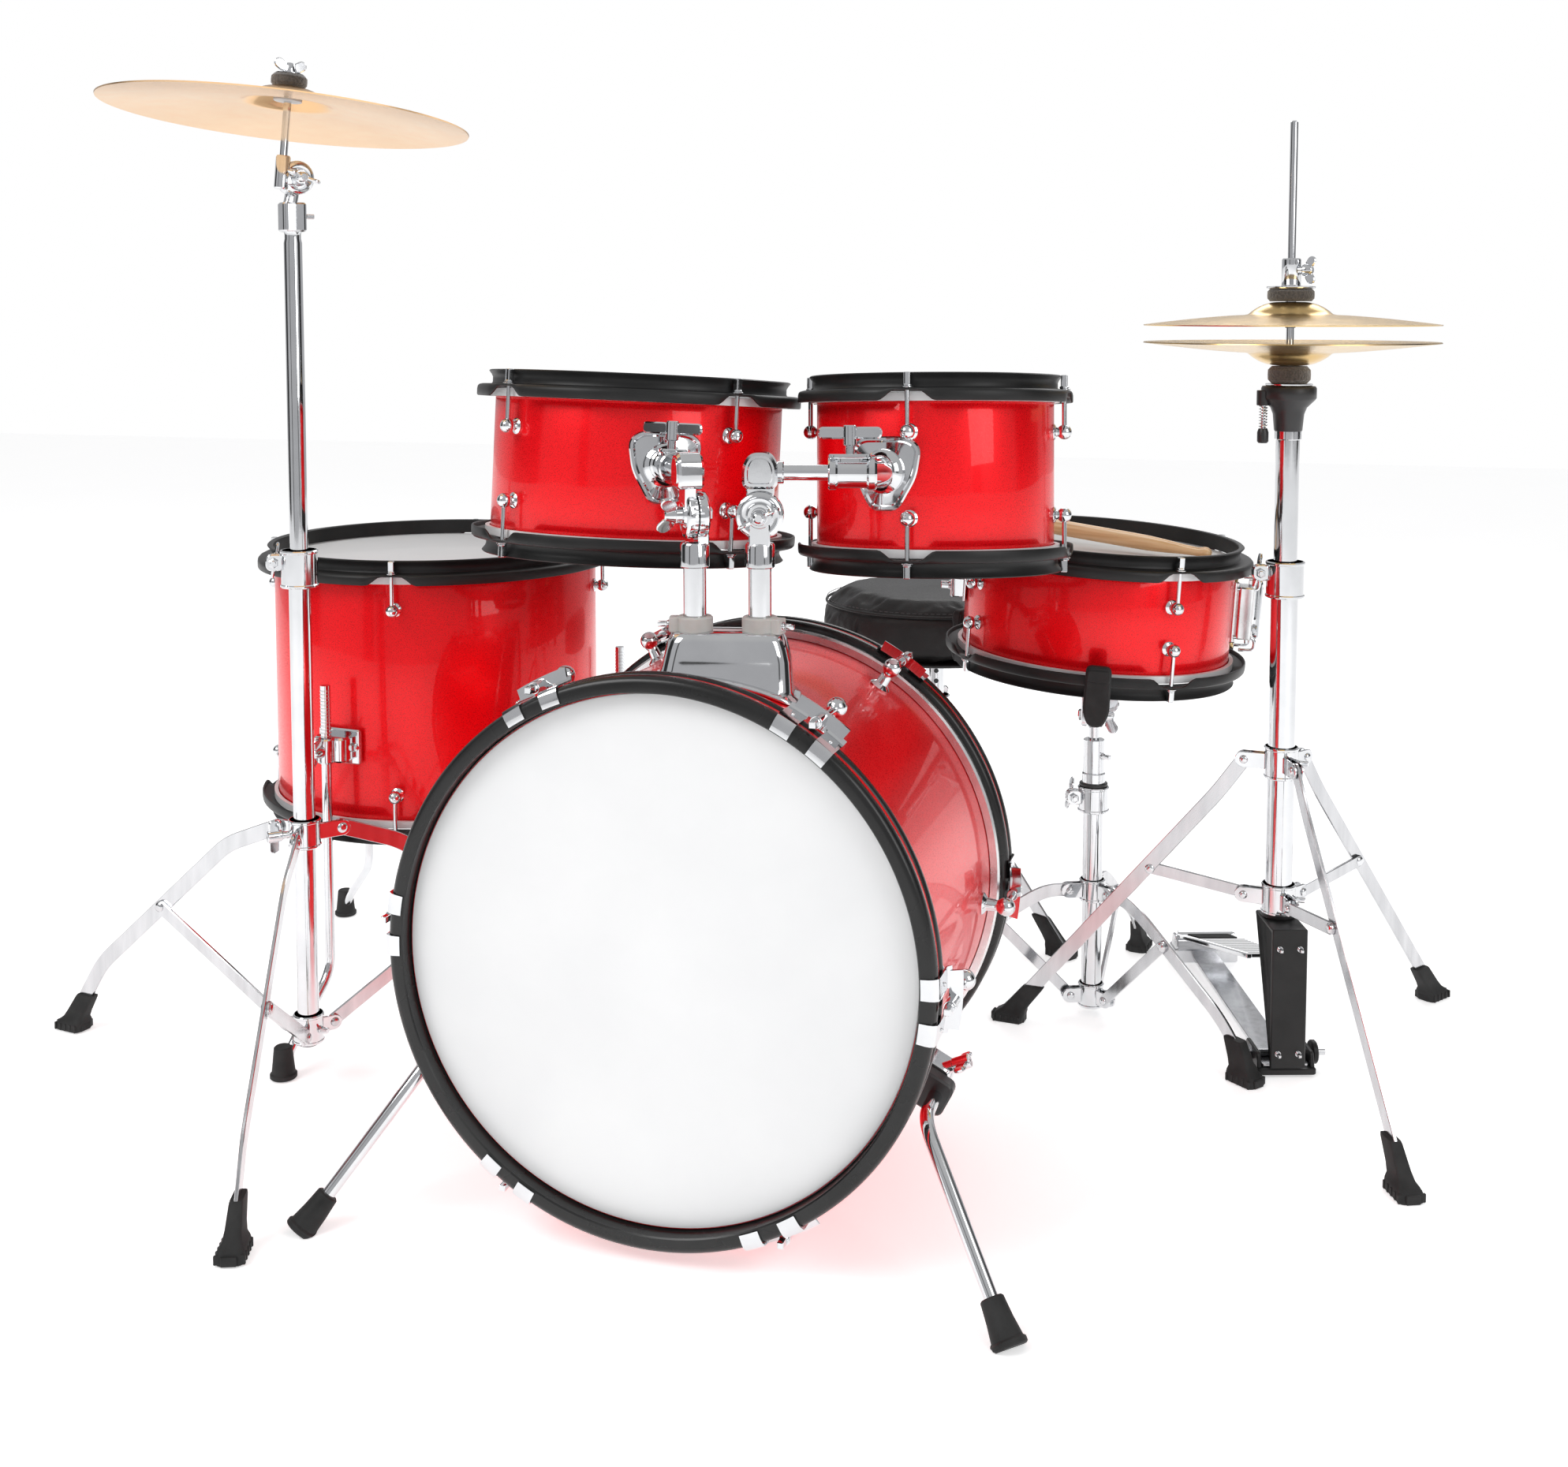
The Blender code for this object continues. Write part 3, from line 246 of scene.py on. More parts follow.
def add_floor(material):
    mesh = bpy.data.meshes.new("floor")
    shape = bmesh.new()
    bmesh.ops.create_grid(shape, x_segments=8, y_segments=8, size=FLOOR_HALF)
    shape.to_mesh(mesh)
    shape.free()
    mesh.materials.append(material)
    floor = bpy.data.objects.new("floor", mesh)
    bpy.context.scene.collection.objects.link(floor)


# ---- materials --------------------------------------------------------------------------
class Finish:
    """A Principled material with a few shorthand nodes."""

    def __init__(self, name, colour, roughness, metallic=0.0, **constants):
        self.material = bpy.data.materials.new(name)
        self.material.use_nodes = True
        self.tree = self.material.node_tree
        self.shader = self.tree.nodes["Principled BSDF"]
        self.shader.inputs["Base Color"].default_value = (*colour, 1.0)
        self.shader.inputs["Roughness"].default_value = roughness
        self.shader.inputs["Metallic"].default_value = metallic
        for socket, value in constants.items():
            self.shader.inputs[socket.replace("_", " ")].default_value = value
        self.coords = self.tree.nodes.new("ShaderNodeTexCoord").outputs["Object"]

    def node(self, kind, links=(), settings=None, **values):
        return add_node(self.tree, kind, links, settings, **values)

    def stretched(self, scale):
        return self.node("Mapping", [("Vector", self.coords)], Scale=scale).outputs[0]

    def noise(self, scale, detail=3.0, vector=None):
        vector = vector or self.coords
        return self.node("TexNoise", [("Vector", vector)], Scale=scale, Detail=detail).outputs[0]

    def cells(self, scale, output="Color", vector=None):
        vector = vector or self.coords
        return self.node("TexVoronoi", [("Vector", vector)], Scale=scale).outputs[output]

    def ramp(self, source, *stops):
        ramp = self.node("ValToRGB", [("Fac", source)])
        fill_ramp(ramp, stops)
        return ramp.outputs[0]

    def spread(self, source, low, high):
        """source, from 0 to 1, spread over low to high."""
        return self.node("MapRange", [("Value", source)], To_Min=low, To_Max=high).outputs[0]

    def colour(self, source):
        self.tree.links.new(source, self.shader.inputs["Base Color"])
        return self

    def rough(self, source):
        self.tree.links.new(source, self.shader.inputs["Roughness"])
        return self

    def bump(self, source, strength, distance=0.001):
        bump = self.node("Bump", [("Height", source)], Strength=strength, Distance=distance)
        self.tree.links.new(bump.outputs[0], self.shader.inputs["Normal"])
        return self


def sparkle_lacquer():
    """Deep red metal flake under a clear coat."""
    finish = Finish("red_sparkle", (0.9, 0.002, 0.008), 0.3, 0.38, Specular_IOR_Level=0.2,
                    Coat_Weight=0.4,
                    Coat_Roughness=0.035, Coat_IOR=1.5)
    flakes = finish.cells(2100.0)
    drift = finish.noise(9.0, 2.0)
    mixed = finish.node("Mix", [("A", flakes), ("B", drift)], Factor=0.28)
    tint = finish.ramp(mixed.outputs[0], (0.18, (0.7, 0.001, 0.004)), (0.52, (0.94, 0.001, 0.007)),
                       (0.86, (1.0, 0.008, 0.014)))
    finish.colour(tint)
    finish.rough(finish.spread(flakes, 0.24, 0.4))
    return finish.bump(flakes, 0.12, 0.0004).material


def chrome_plate():
    finish = Finish("chrome_plate", (0.83, 0.84, 0.855), 0.06, 1.0)
    smear = finish.noise(38.0, 5.0)
    finish.rough(finish.spread(smear, 0.03, 0.115))
    tint = finish.ramp(smear, (0.25, (0.66, 0.67, 0.685)), (0.75, (0.74, 0.75, 0.765)))
    finish.colour(tint)
    return finish.bump(finish.noise(60.0, 2.0), 0.03, 0.0006).material


def plated_bar():
    """Plated flat bar: the rolled steel's faint drawing lines show through."""
    finish = Finish("plated_bar", (0.8, 0.805, 0.82), 0.18, 1.0)
    lines = finish.noise(90.0, 4.0, finish.stretched((1.0, 1.0, 0.15)))
    finish.rough(finish.spread(lines, 0.1, 0.26))
    finish.colour(finish.ramp(lines, (0.3, (0.54, 0.545, 0.56)), (0.7, (0.66, 0.665, 0.68))))
    return finish.bump(lines, 0.05, 0.0004).material


def powder_black():
    finish = Finish("powder_black", (0.016, 0.016, 0.017), 0.4, 0.0, Specular_IOR_Level=0.25)
    grain = finish.noise(900.0, 3.0)
    finish.rough(finish.spread(finish.noise(14.0, 4.0), 0.32, 0.46))
    finish.colour(finish.ramp(finish.noise(25.0, 3.0), (0.3, 0.012), (0.7, 0.021)))
    return finish.bump(grain, 0.16, 0.0003).material


def hoop_black():
    """The bass hoops' smoother, glossier paint."""
    finish = Finish("hoop_black", (0.012, 0.012, 0.013), 0.24, 0.0, Specular_IOR_Level=0.3, Coat_Weight=0.15,
                    Coat_Roughness=0.12)
    finish.rough(finish.spread(finish.noise(30.0, 4.0), 0.2, 0.34))
    finish.colour(finish.ramp(finish.noise(18.0, 3.0), (0.3, 0.009), (0.7, 0.017)))
    return finish.bump(finish.noise(220.0, 2.0), 0.05, 0.0005).material


def head_film():
    finish = Finish("head_film", (0.86, 0.865, 0.87), 0.34, 0.0, Coat_Weight=0.15)
    cloud = finish.noise(7.0, 4.0)
    finish.colour(finish.ramp(cloud, (0.3, (0.77, 0.775, 0.78)), (0.7, (0.83, 0.833, 0.835))))
    finish.rough(finish.spread(finish.noise(120.0, 4.0), 0.28, 0.42))
    return finish.bump(finish.noise(700.0, 2.0), 0.05, 0.0002).material


def lathed_bronze(name, light, dark, rings):
    """Turned cymbal metal: fine tool rings round the axis, and a slow colour drift."""
    finish = Finish(name, light, 0.2, 1.0)
    flat = finish.node("VectorMath", [(0, finish.coords)], {"operation": "MULTIPLY"})
    flat.inputs[1].default_value = (1.0, 1.0, 0.0)
    reach = finish.node("VectorMath", [(0, flat.outputs[0])], {"operation": "LENGTH"})
    turns = finish.node("Math", [(0, reach.outputs["Value"])], {"operation": "MULTIPLY"})
    turns.inputs[1].default_value = rings
    wave = finish.node("Math", [(0, turns.outputs[0])], {"operation": "SINE"})
    height = finish.spread(wave.outputs[0], 0.0, 0.5)
    drift = finish.noise(6.0, 3.0)
    finish.colour(finish.ramp(drift, (0.3, dark), (0.7, light)))
    finish.rough(finish.spread(finish.noise(70.0, 4.0), 0.17, 0.3))
    return finish.bump(height, 0.22, 0.0002).material


def maple():
    finish = Finish("maple", (0.78, 0.55, 0.32), 0.42, 0.0, Coat_Weight=0.25, Coat_Roughness=0.3)
    grain = finish.noise(160.0, 5.0, finish.stretched((0.06, 1.0, 1.0)))
    tint = finish.ramp(grain, (0.28, (0.55, 0.31, 0.13)), (0.5, (0.76, 0.5, 0.26)),
                       (0.72, (0.86, 0.63, 0.38)))
    finish.colour(tint)
    finish.rough(finish.spread(grain, 0.34, 0.52))
    return finish.bump(grain, 0.08, 0.0004).material


def grained_vinyl():
    finish = Finish("grained_vinyl", (0.022, 0.022, 0.024), 0.42, 0.0, Specular_IOR_Level=0.2)
    pebble = finish.cells(620.0, "Distance")
    finish.colour(finish.ramp(finish.noise(20.0, 4.0), (0.3, 0.016), (0.7, 0.03)))
    finish.rough(finish.spread(pebble, 0.5, 0.36))
    return finish.bump(pebble, 0.35, 0.0004).material


def black_rubber():
    finish = Finish("black_rubber", (0.02, 0.02, 0.021), 0.62, 0.0, Specular_IOR_Level=0.25)
    dust = finish.noise(50.0, 6.0)
    finish.colour(finish.ramp(dust, (0.3, 0.014), (0.75, 0.034)))
    finish.rough(finish.spread(dust, 0.5, 0.75))
    return finish.bump(finish.noise(420.0, 3.0), 0.25, 0.0004).material


def pressed_felt():
    finish = Finish("pressed_felt", (0.045, 0.035, 0.028), 0.95, 0.0, Sheen_Weight=0.6,
                    Sheen_Roughness=0.6)
    fibre = finish.noise(520.0, 8.0)
    finish.colour(finish.ramp(fibre, (0.3, (0.018, 0.014, 0.011)), (0.7, (0.085, 0.068, 0.054))))
    return finish.bump(fibre, 0.9, 0.0012).material


def plain_finish(name, colour, roughness, metallic=0.0, grain=260.0, **constants):
    """A moulded or cast surface with a light grain and some drift in its colour."""
    finish = Finish(name, colour, roughness, metallic, **constants)
    dark = tuple(value * 0.82 for value in colour)
    light = tuple(min(1.0, value * 1.12) for value in colour)
    finish.colour(finish.ramp(finish.noise(30.0, 4.0), (0.3, dark), (0.7, light)))
    finish.rough(finish.spread(finish.noise(grain / 3, 4.0), roughness * 0.8, roughness * 1.2))
    return finish.bump(finish.noise(grain, 3.0), 0.08, 0.0003).material


def floor_white():
    finish = Finish("floor_white", (0.93, 0.93, 0.93), 0.6, Emission_Strength=0.5,
                    Emission_Color=WHITE)
    finish.colour(finish.ramp(finish.noise(3.0, 2.0), (0.3, 0.925), (0.7, 0.94)))
    return finish.rough(finish.spread(finish.noise(40.0, 3.0), 0.55, 0.7)).material


# ---- shapes -----------------------------------------------------------------------------
class Shape:
    """Solids gathered into one mesh, which then becomes a named piece."""

    def __init__(self):
        self.mesh = bmesh.new()

    def skin(self, rings, closed=False):
        """Quads between rings of points. An open run of rings gets caps."""
        rings = [[self.mesh.verts.new(p) for p in ring] for ring in rings]
        count = len(rings[0])
        pairs = list(zip(rings, rings[1:])) + ([(rings[-1], rings[0])] if closed else [])
        for one, two in pairs:
            for i in range(count):
                j = (i + 1) % count
                self.mesh.faces.new((one[i], one[j], two[j], two[i]))
        if not closed:
            self.mesh.faces.new(rings[0])
            self.mesh.faces.new(rings[-1][::-1])
        return self

    def turn(self, profile, place=HERE, steps=48, arc=None):
        """A solid of revolution about place's Z. profile is a closed run of (radius, height), or
        a function of the angle in degrees that gives one. arc limits it to (from, to) degrees."""
        outline = profile if callable(profile) else lambda angle: profile
        start, end = arc or (0.0, 360.0)
        count = steps + 1 if arc else steps
        angles = [start + (end - start) * i / steps for i in range(count)]
        rings = [[place @ polar(r, angle, z) for r, z in outline(angle)] for angle in angles]
        return self.skin(rings, closed=not arc)

    def lathe(self, profile, place=HERE, steps=32):
        """A solid turned from an open profile that starts and ends on the axis."""
        points = [(0.0, profile[0][1])] * (profile[0][0] > 0) + list(profile)
        points += [(0.0, profile[-1][1])] * (profile[-1][0] > 0)
        rings = [
            [place @ polar(max(r, 1e-6), 360.0 * i / steps, z) for i in range(steps)]
            for r, z in points
        ]
        return self.skin(rings)

    def rod(self, start, end, radius, steps=20, ease=0.0004):
        """A round bar with eased ends."""
        start, end = Vector(start), Vector(end)
        length = (end - start).length
        ease = min(ease, radius * 0.45, length * 0.3)
        profile = [(radius - ease, 0.0), (radius, ease), (radius, length - ease),
                   (radius - ease, length)]
        return self.lathe(profile, facing(start, end - start), steps)

    def ball(self, centre, radius, place=HERE, steps=20):
        bow = [math.pi * (i / 10 - 0.5) for i in range(11)]
        profile = [(radius * math.cos(a), radius * math.sin(a)) for a in bow]
        return self.lathe(profile, place @ Matrix.Translation(centre), steps)

    def collar(self, outer, inner, low, high, place=HERE, steps=40, ease=0.0008):
        """A ring with eased outer edges."""
        ease = min(ease, (high - low) * 0.3, (outer - inner) * 0.4)
        profile = [(inner, low), (outer - ease, low), (outer, low + ease), (outer, high - ease),
                   (outer - ease, high), (inner, high)]
        return self.turn(profile, place, steps)

    def slab(self, outline, thickness, place=HERE, ease=0.0005):
        """A plate with eased edges: the outline lies in place's XY plane, thick along Z."""
        inner = inset(outline, ease)
        half = thickness / 2
        layers = [(inner, -half), (outline, ease - half), (outline, half - ease), (inner, half)]
        rings = [[place @ Vector((x, y, z)) for x, y in line] for line, z in layers]
        return self.skin(rings)

    def box(self, size, place=HERE, corner=0.001, ease=0.0005):
        return self.slab(rounded_box(size[0], size[1], corner), size[2], place, ease)

    def sweep(self, path, section, across=None, closed=False):
        """A closed section carried along a path. Its X follows across."""
        path = [Vector(p) for p in path]
        rings = []
        side = Vector(across) if across is not None else None
        for i, point in enumerate(path):
            before = path[i - 1] if closed or i else point
            after = path[(i + 1) % len(path)] if closed or i < len(path) - 1 else point
            ahead = (after - before).normalized()
            if side is None:
                side = ahead.orthogonal()
            side = (side - ahead * side.dot(ahead)).normalized()
            over = ahead.cross(side)
            rings.append([point + side * x + over * y for x, y in section])
        return self.skin(rings, closed=closed)

    def tube(self, path, radius, steps=16, closed=False):
        return self.sweep(path, circle(radius, steps), closed=closed)

    def piece(self, name, material, body, slot, *nodes, smooth=38, place=None):
        """Makes the named piece, riding on body and standing for the CAD nodes."""
        bmesh.ops.remove_doubles(self.mesh, verts=self.mesh.verts, dist=2e-6)
        bmesh.ops.dissolve_degenerate(self.mesh, edges=self.mesh.edges, dist=1e-7)
        bmesh.ops.recalc_face_normals(self.mesh, faces=self.mesh.faces)
        if place is not None:
            self.mesh.transform(place.inverted())
        data = bpy.data.meshes.new(name)
        self.mesh.to_mesh(data)
        self.mesh.free()
        data.materials.append(material)
        data.shade_smooth()
        data.set_sharp_from_angle(angle=math.radians(smooth))
        obj = bpy.data.objects.new(name, data)
        if place is not None:
            obj.matrix_world = place
        bpy.context.scene.collection.objects.link(obj)
        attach(obj, body)
        if nodes:
            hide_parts(*nodes)
        return obj


def circle(radius, steps=16):
    return [tuple(polar(radius, 360.0 * i / steps))[:2] for i in range(steps)]


def rounded_box(width, height, corner, steps=5):
    corner = min(corner, width * 0.499, height * 0.499)
    points = []
    for quarter, (sx, sy) in enumerate(((1, 1), (-1, 1), (-1, -1), (1, -1))):
        centre = Vector((sx * (width / 2 - corner), sy * (height / 2 - corner), 0.0))
        for i in range(steps):
            point = centre + polar(corner, 90.0 * (quarter + i / (steps - 1)))
            points.append((point.x, point.y))
    return points


def inset(outline, amount):
    """The outline moved inwards by amount."""
    area = sum(a[0] * b[1] - b[0] * a[1] for a, b in zip(outline, outline[1:] + outline[:1]))
    sign = 1.0 if area > 0 else -1.0
    count = len(outline)
    moved = []
    for i, (x, y) in enumerate(outline):
        normals = []
        for a, b in ((outline[i - 1], (x, y)), ((x, y), outline[(i + 1) % count])):
            edge = Vector((b[0] - a[0], b[1] - a[1]))
            if edge.length > 1e-9:
                edge.normalize()
                normals.append(Vector((-edge.y, edge.x)) * sign)
        mean = sum(normals, Vector((0.0, 0.0))).normalized()
        reach = amount / max(0.4, mean.dot(normals[0]))
        moved.append((x + mean.x * reach, y + mean.y * reach))
    return moved


def softened(points, fillet, cuts=6):
    """The polyline with each inner corner replaced by a short quadratic bend."""
    points = [Vector(p) for p in points]
    path = [points[0]]
    for before, corner, after in zip(points, points[1:], points[2:]):
        reach_in = min(fillet, (before - corner).length * 0.48)
        reach_out = min(fillet, (after - corner).length * 0.48)
        start = corner + (before - corner).normalized() * reach_in
        end = corner + (after - corner).normalized() * reach_out
        for i in range(cuts + 1):
            t = i / cuts
            path.append(start * (1 - t) ** 2 + corner * 2 * t * (1 - t) + end * t**2)
    return path + [points[-1]]


def key_bolt(shape, place, size=1.0, washer=0.005):
    """A washer, a collar and a square drum-key head, standing up from place."""
    shape.collar(washer * size, 0.001, 0.0, 0.0009 * size, place, 24, 0.0002)
    shape.collar(0.004 * size, 0.001, 0.0009 * size, 0.003 * size, place, 24)
    head = place @ Matrix.Translation((0.0, 0.0, 0.0075 * size))
    shape.box((0.0054 * size, 0.0054 * size, 0.01 * size), head, 0.0006, 0.0005)


def butterfly(shape, place, stem=0.008, span=0.03, wing=0.009):
    """A cast wing nut: a hub up place's Z with two raised ears along X."""
    hub = [(0.0058, 0.0), (0.0062, 0.0015), (0.0046, stem * 0.7), (0.004, stem), (0.0028, stem + 0.001)]
    shape.lathe(hub, place, 24)
    for side in (1, -1):
        tilt = Matrix.Rotation(side * math.radians(-32.0), 4, "Y")
        root = Matrix.Translation((side * span * 0.29, 0.0, stem * 0.85))
        outline = rounded_box(span * 0.42, wing, wing * 0.49)
        turn = Matrix.Rotation(math.pi / 2, 4, "X")
        shape.slab(outline, 0.0028, place @ root @ tilt @ turn, 0.0009)


def t_handle(shape, place, stem=0.016, span=0.052):
    """A wing screw with two flat paddles on a barrel."""
    shape.rod(place @ Vector((0, 0, -0.004)), place @ Vector((0, 0, stem)), 0.0033, 20)
    for i in range(7):
        low = stem * (0.05 + 0.09 * i)
        shape.collar(0.0037, 0.002, low, low + 0.0007, place, 16, 0.0003)
    shape.collar(0.0054, 0.001, stem * 0.62, stem + 0.012, place, 24)
    for side in (1, -1):
        spot = Matrix.Translation((side * span * 0.29, 0.0, stem + 0.006))
        turn = Matrix.Rotation(math.pi / 2, 4, "X")
        outline = rounded_box(span * 0.44, 0.0095, 0.0035)
        shape.slab(outline, 0.0036, place @ spot @ turn, 0.0012)


# ---- drums ------------------------------------------------------------------------------
def drum_place(first, second):
    """The frame midway between two nodes, with +Z from the second to the first."""
    a, b = middle(first), middle(second)
    up = (a - b).normalized()
    side = Vector((0.0, 1.0, 0.0)).cross(up).normalized()
    return axes((a + b) / 2, side, up.cross(side), up), (a - b).length


def steel_hoop_profile(radius, head, side, lugs):
    """The hoop's section at an angle: the skirt is cut away to a flat ear round each lug."""
    low = head + GAP
    inner, wall = radius + 0.001, radius + 0.001 + HOOP_STEEL
    skirt, top = radius + SKIRT_REACH, head + HOOP_RIM
    flat = low + HOOP_STEEL

    def section(angle):
        gap = min(abs((angle - lug + 180.0) % 360.0 - 180.0) for lug in lugs)
        arc = math.radians(gap) * skirt
        t = min(1.0, max(0.0, (arc - 0.0095) / 0.015))
        drop = 0.0021 + (SKIRT_HEIGHT - 0.0021) * t * t * (3 - 2 * t)
        pull = 0.0022 * (1.0 - t)
        reach, foot = skirt - pull, flat - drop
        line = [
            (inner, low), (inner, top - 0.001), (inner + 0.0007, top - 0.0002),
            (wall + HOOP_LIP - 0.001, top), (wall + HOOP_LIP, top - 0.0009),
            (wall + HOOP_LIP - 0.001, top - 0.0021), (wall + 0.0012, top - 0.0038),
            (wall, top - 0.0062), (wall, flat + 0.002), (wall + 0.0007, flat + 0.0006),
            (wall + 0.0022, flat), (reach - 0.0042, flat), (reach - 0.0017, flat - drop * 0.06),
            (reach - 0.0004, flat - drop * 0.2), (reach, flat - drop * 0.42),
            (reach, foot + drop * 0.12), (reach - 0.0004, foot + drop * 0.03),
            (reach - 0.0011, foot), (reach - 0.0018, foot + drop * 0.04),
            (reach - 0.0022, foot + drop * 0.15), (reach - 0.0024, flat - drop * 0.6),
            (reach - 0.004, min(low, flat - drop * 0.5)),
        ]
        return flipped(line, side)

    return section


def steel_drum(prefix, body):
    """Shell, heads, flanged hoops, lugs and tension rods of a drum with steel hoops."""
    radius, lugs = TOMS[prefix]
    place, apart = drum_place(prefix + "_batter_head", prefix + "_resonant_head")
    head = (apart + FLESH_DROP) / 2
    edge = head - 0.001 - GAP
    inner = radius - SHELL_WALL
    shell = Shape().turn([
        (radius, 0.0), (radius, edge - 0.003), (radius - 0.001, edge - 0.001),
        (radius - 0.003, edge), (inner, edge - 0.003), (inner, 0.003 - edge),
        (radius - 0.003, -edge), (radius - 0.001, 0.001 - edge), (radius, 0.003 - edge),
    ], place, 144)
    shell.piece(prefix + "_shell_skin", LACQUER, body, "red_lacquer", prefix + "_shell", smooth=50)
    fittings, heads, hoops = Shape(), Shape(), Shape()
    for side in (1, -1):
        film = [
            (0.0, head), (radius - 0.012, head), (radius - 0.006, head - 0.0003),
            (radius - 0.002, head - 0.001), (radius + 0.0022, head - 0.0007),
            (radius + FLESH_REACH, head - 0.0012), (radius + FLESH_REACH, head - FLESH_DROP),
            (radius + 0.0008, head - FLESH_DROP), (radius + 0.0008, head - 0.0026),
            (radius - 0.004, head - 0.0012), (0.0, head - 0.0009),
        ]
        heads.lathe(flipped(film, side), place, 128)
        hoops.turn(steel_hoop_profile(radius, head, side, lugs), place, 240)
        for angle in lugs:
            lug_and_rod(fittings, place, radius, angle, head, side)
    heads.piece(prefix + "_heads", FILM, body, "drum_head",
                prefix + "_batter_head", prefix + "_resonant_head")
    hoops.piece(prefix + "_hoops", POWDER, body, "black_steel",
                prefix + "_batter_hoop", prefix + "_resonant_hoop")
    fittings.piece(prefix + "_lugs_and_rods", CHROME, body, "chrome")
    return place


def lug_and_rod(shape, place, radius, angle, head, side):
    """A ball lug on its flange, with the tension rod and its key head."""
    outward = place.to_3x3() @ polar(1.0, angle)
    height = side * (head - LUG_DROP)
    root = place @ polar(radius - 0.0005, angle, height)
    reach = LUG_REACH + 0.0005
    profile = [(0.0068, 0.0), (0.0069, 0.0016), (0.006, 0.0024), (0.004, 0.0033), (0.0036, 0.0046)]
    ball = [(0.0063 * math.cos(a), reach + 0.0063 * math.sin(a))
            for a in (math.radians(-52 + 142 * i / 9) for i in range(10))]
    shape.lathe(profile + ball, facing(root, outward), 28)
    ear = head + GAP + HOOP_STEEL
    low = place @ polar(radius + LUG_REACH, angle, height - side * 0.004)
    top = place @ polar(radius + LUG_REACH, angle, side * (ear + 0.001))
    shape.rod(low, top, ROD_R, 16)
    up = (top - low).normalized()
    key_bolt(shape, facing(place @ polar(radius + LUG_REACH, angle, side * ear), up, outward), 1.0, 0.0052)


def bass_drum():
    place, apart = drum_place("bass_front_hoop", "bass_batter_hoop")
    face = (apart + BASS_HOOP_WIDTH) / 2
    radius, edge = BASS_R, face - 0.0133
    Shape().turn([
        (radius, -edge), (radius, edge), (radius - 0.004, edge + 0.0008),
        (radius - SHELL_WALL, edge - 0.002), (radius - SHELL_WALL, 0.002 - edge),
        (radius - 0.004, -edge - 0.0008),
    ], place, 180).piece("bass_shell_skin", LACQUER, "kit", "red_lacquer", "bass_shell")
    for side, end in ((1, "front"), (-1, "batter")):
        bass_end(place, face, side, end)
    return place


def bass_end(place, face, side, end):
    radius, skin = BASS_R, face - 0.012
    film = [
        (0.0, skin), (radius - 0.004, skin), (radius - 0.001, skin - 0.0006),
        (radius + 0.0008, skin - 0.003), (radius + 0.0012, skin - 0.01),
        (radius + 0.0012, face - BASS_HOOP_WIDTH), (radius + 0.0006, face - BASS_HOOP_WIDTH),
        (radius + 0.0003, skin - 0.012), (radius + 0.0002, skin - 0.0032),
        (radius - 0.0006, skin - 0.001), (radius - 0.004, skin - 0.0004), (0.0, skin - 0.001),
    ]
    Shape().lathe(flipped(film, side), place, 180).piece(
        f"bass_{end}_film", FILM, "kit", "drum_head", f"bass_{end}_head")
    back = face - BASS_HOOP_WIDTH - GAP
    ring = [(radius + 0.0006, back), (radius + 0.007, back), (radius + 0.0085, back - 0.0015),
            (radius + 0.0085, back - 0.007), (radius + 0.0068, back - 0.009),
            (radius + 0.0006, back - 0.009)]
    Shape().turn(flipped(ring, side), place, 180).piece(
        f"bass_{end}_flesh_ring", SILVER, "kit", "chrome")
    outer, inner, low = BASS_HOOP_R, radius + 0.0015, face - BASS_HOOP_WIDTH
    groove = outer - 0.0024
    hoop = [
        (inner, face - 0.001), (inner + 0.001, face), (outer - 0.0062, face),
        (outer - 0.0034, face - 0.0006), (outer - 0.0012, face - 0.0024), (outer, face - 0.0056),
        (outer, face - 0.0084), (outer - 0.0008, face - 0.0104), (groove, face - 0.0116),
        (groove, face - 0.0184), (outer - 0.0008, face - 0.0196), (outer, face - 0.0216),
        (outer, low + 0.0056), (outer - 0.0012, low + 0.0024), (outer - 0.0034, low + 0.0006),
        (outer - 0.0062, low), (inner + 0.001, low), (inner, low + 0.001),
    ]
    Shape().turn(flipped(hoop, side), place, 200).piece(
        f"bass_{end}_hoop_ring", HOOP_PAINT, "kit", "black_wood_hoop", f"bass_{end}_hoop")
    inlay = [(groove - 0.001, face - 0.0117), (groove + 0.0007, face - 0.0119),
             (groove + 0.0007, face - 0.0181), (groove - 0.001, face - 0.0183)]
    Shape().turn(flipped(inlay, side), place, 200).piece(
        f"bass_{end}_inlay", LACQUER, "kit", "red_lacquer")
    claws = Shape()
    for angle in BASS_LUGS:
        claw(claws, place, face, side, angle)
    claws.piece(f"bass_{end}_claws", CHROME, "kit", "chrome")


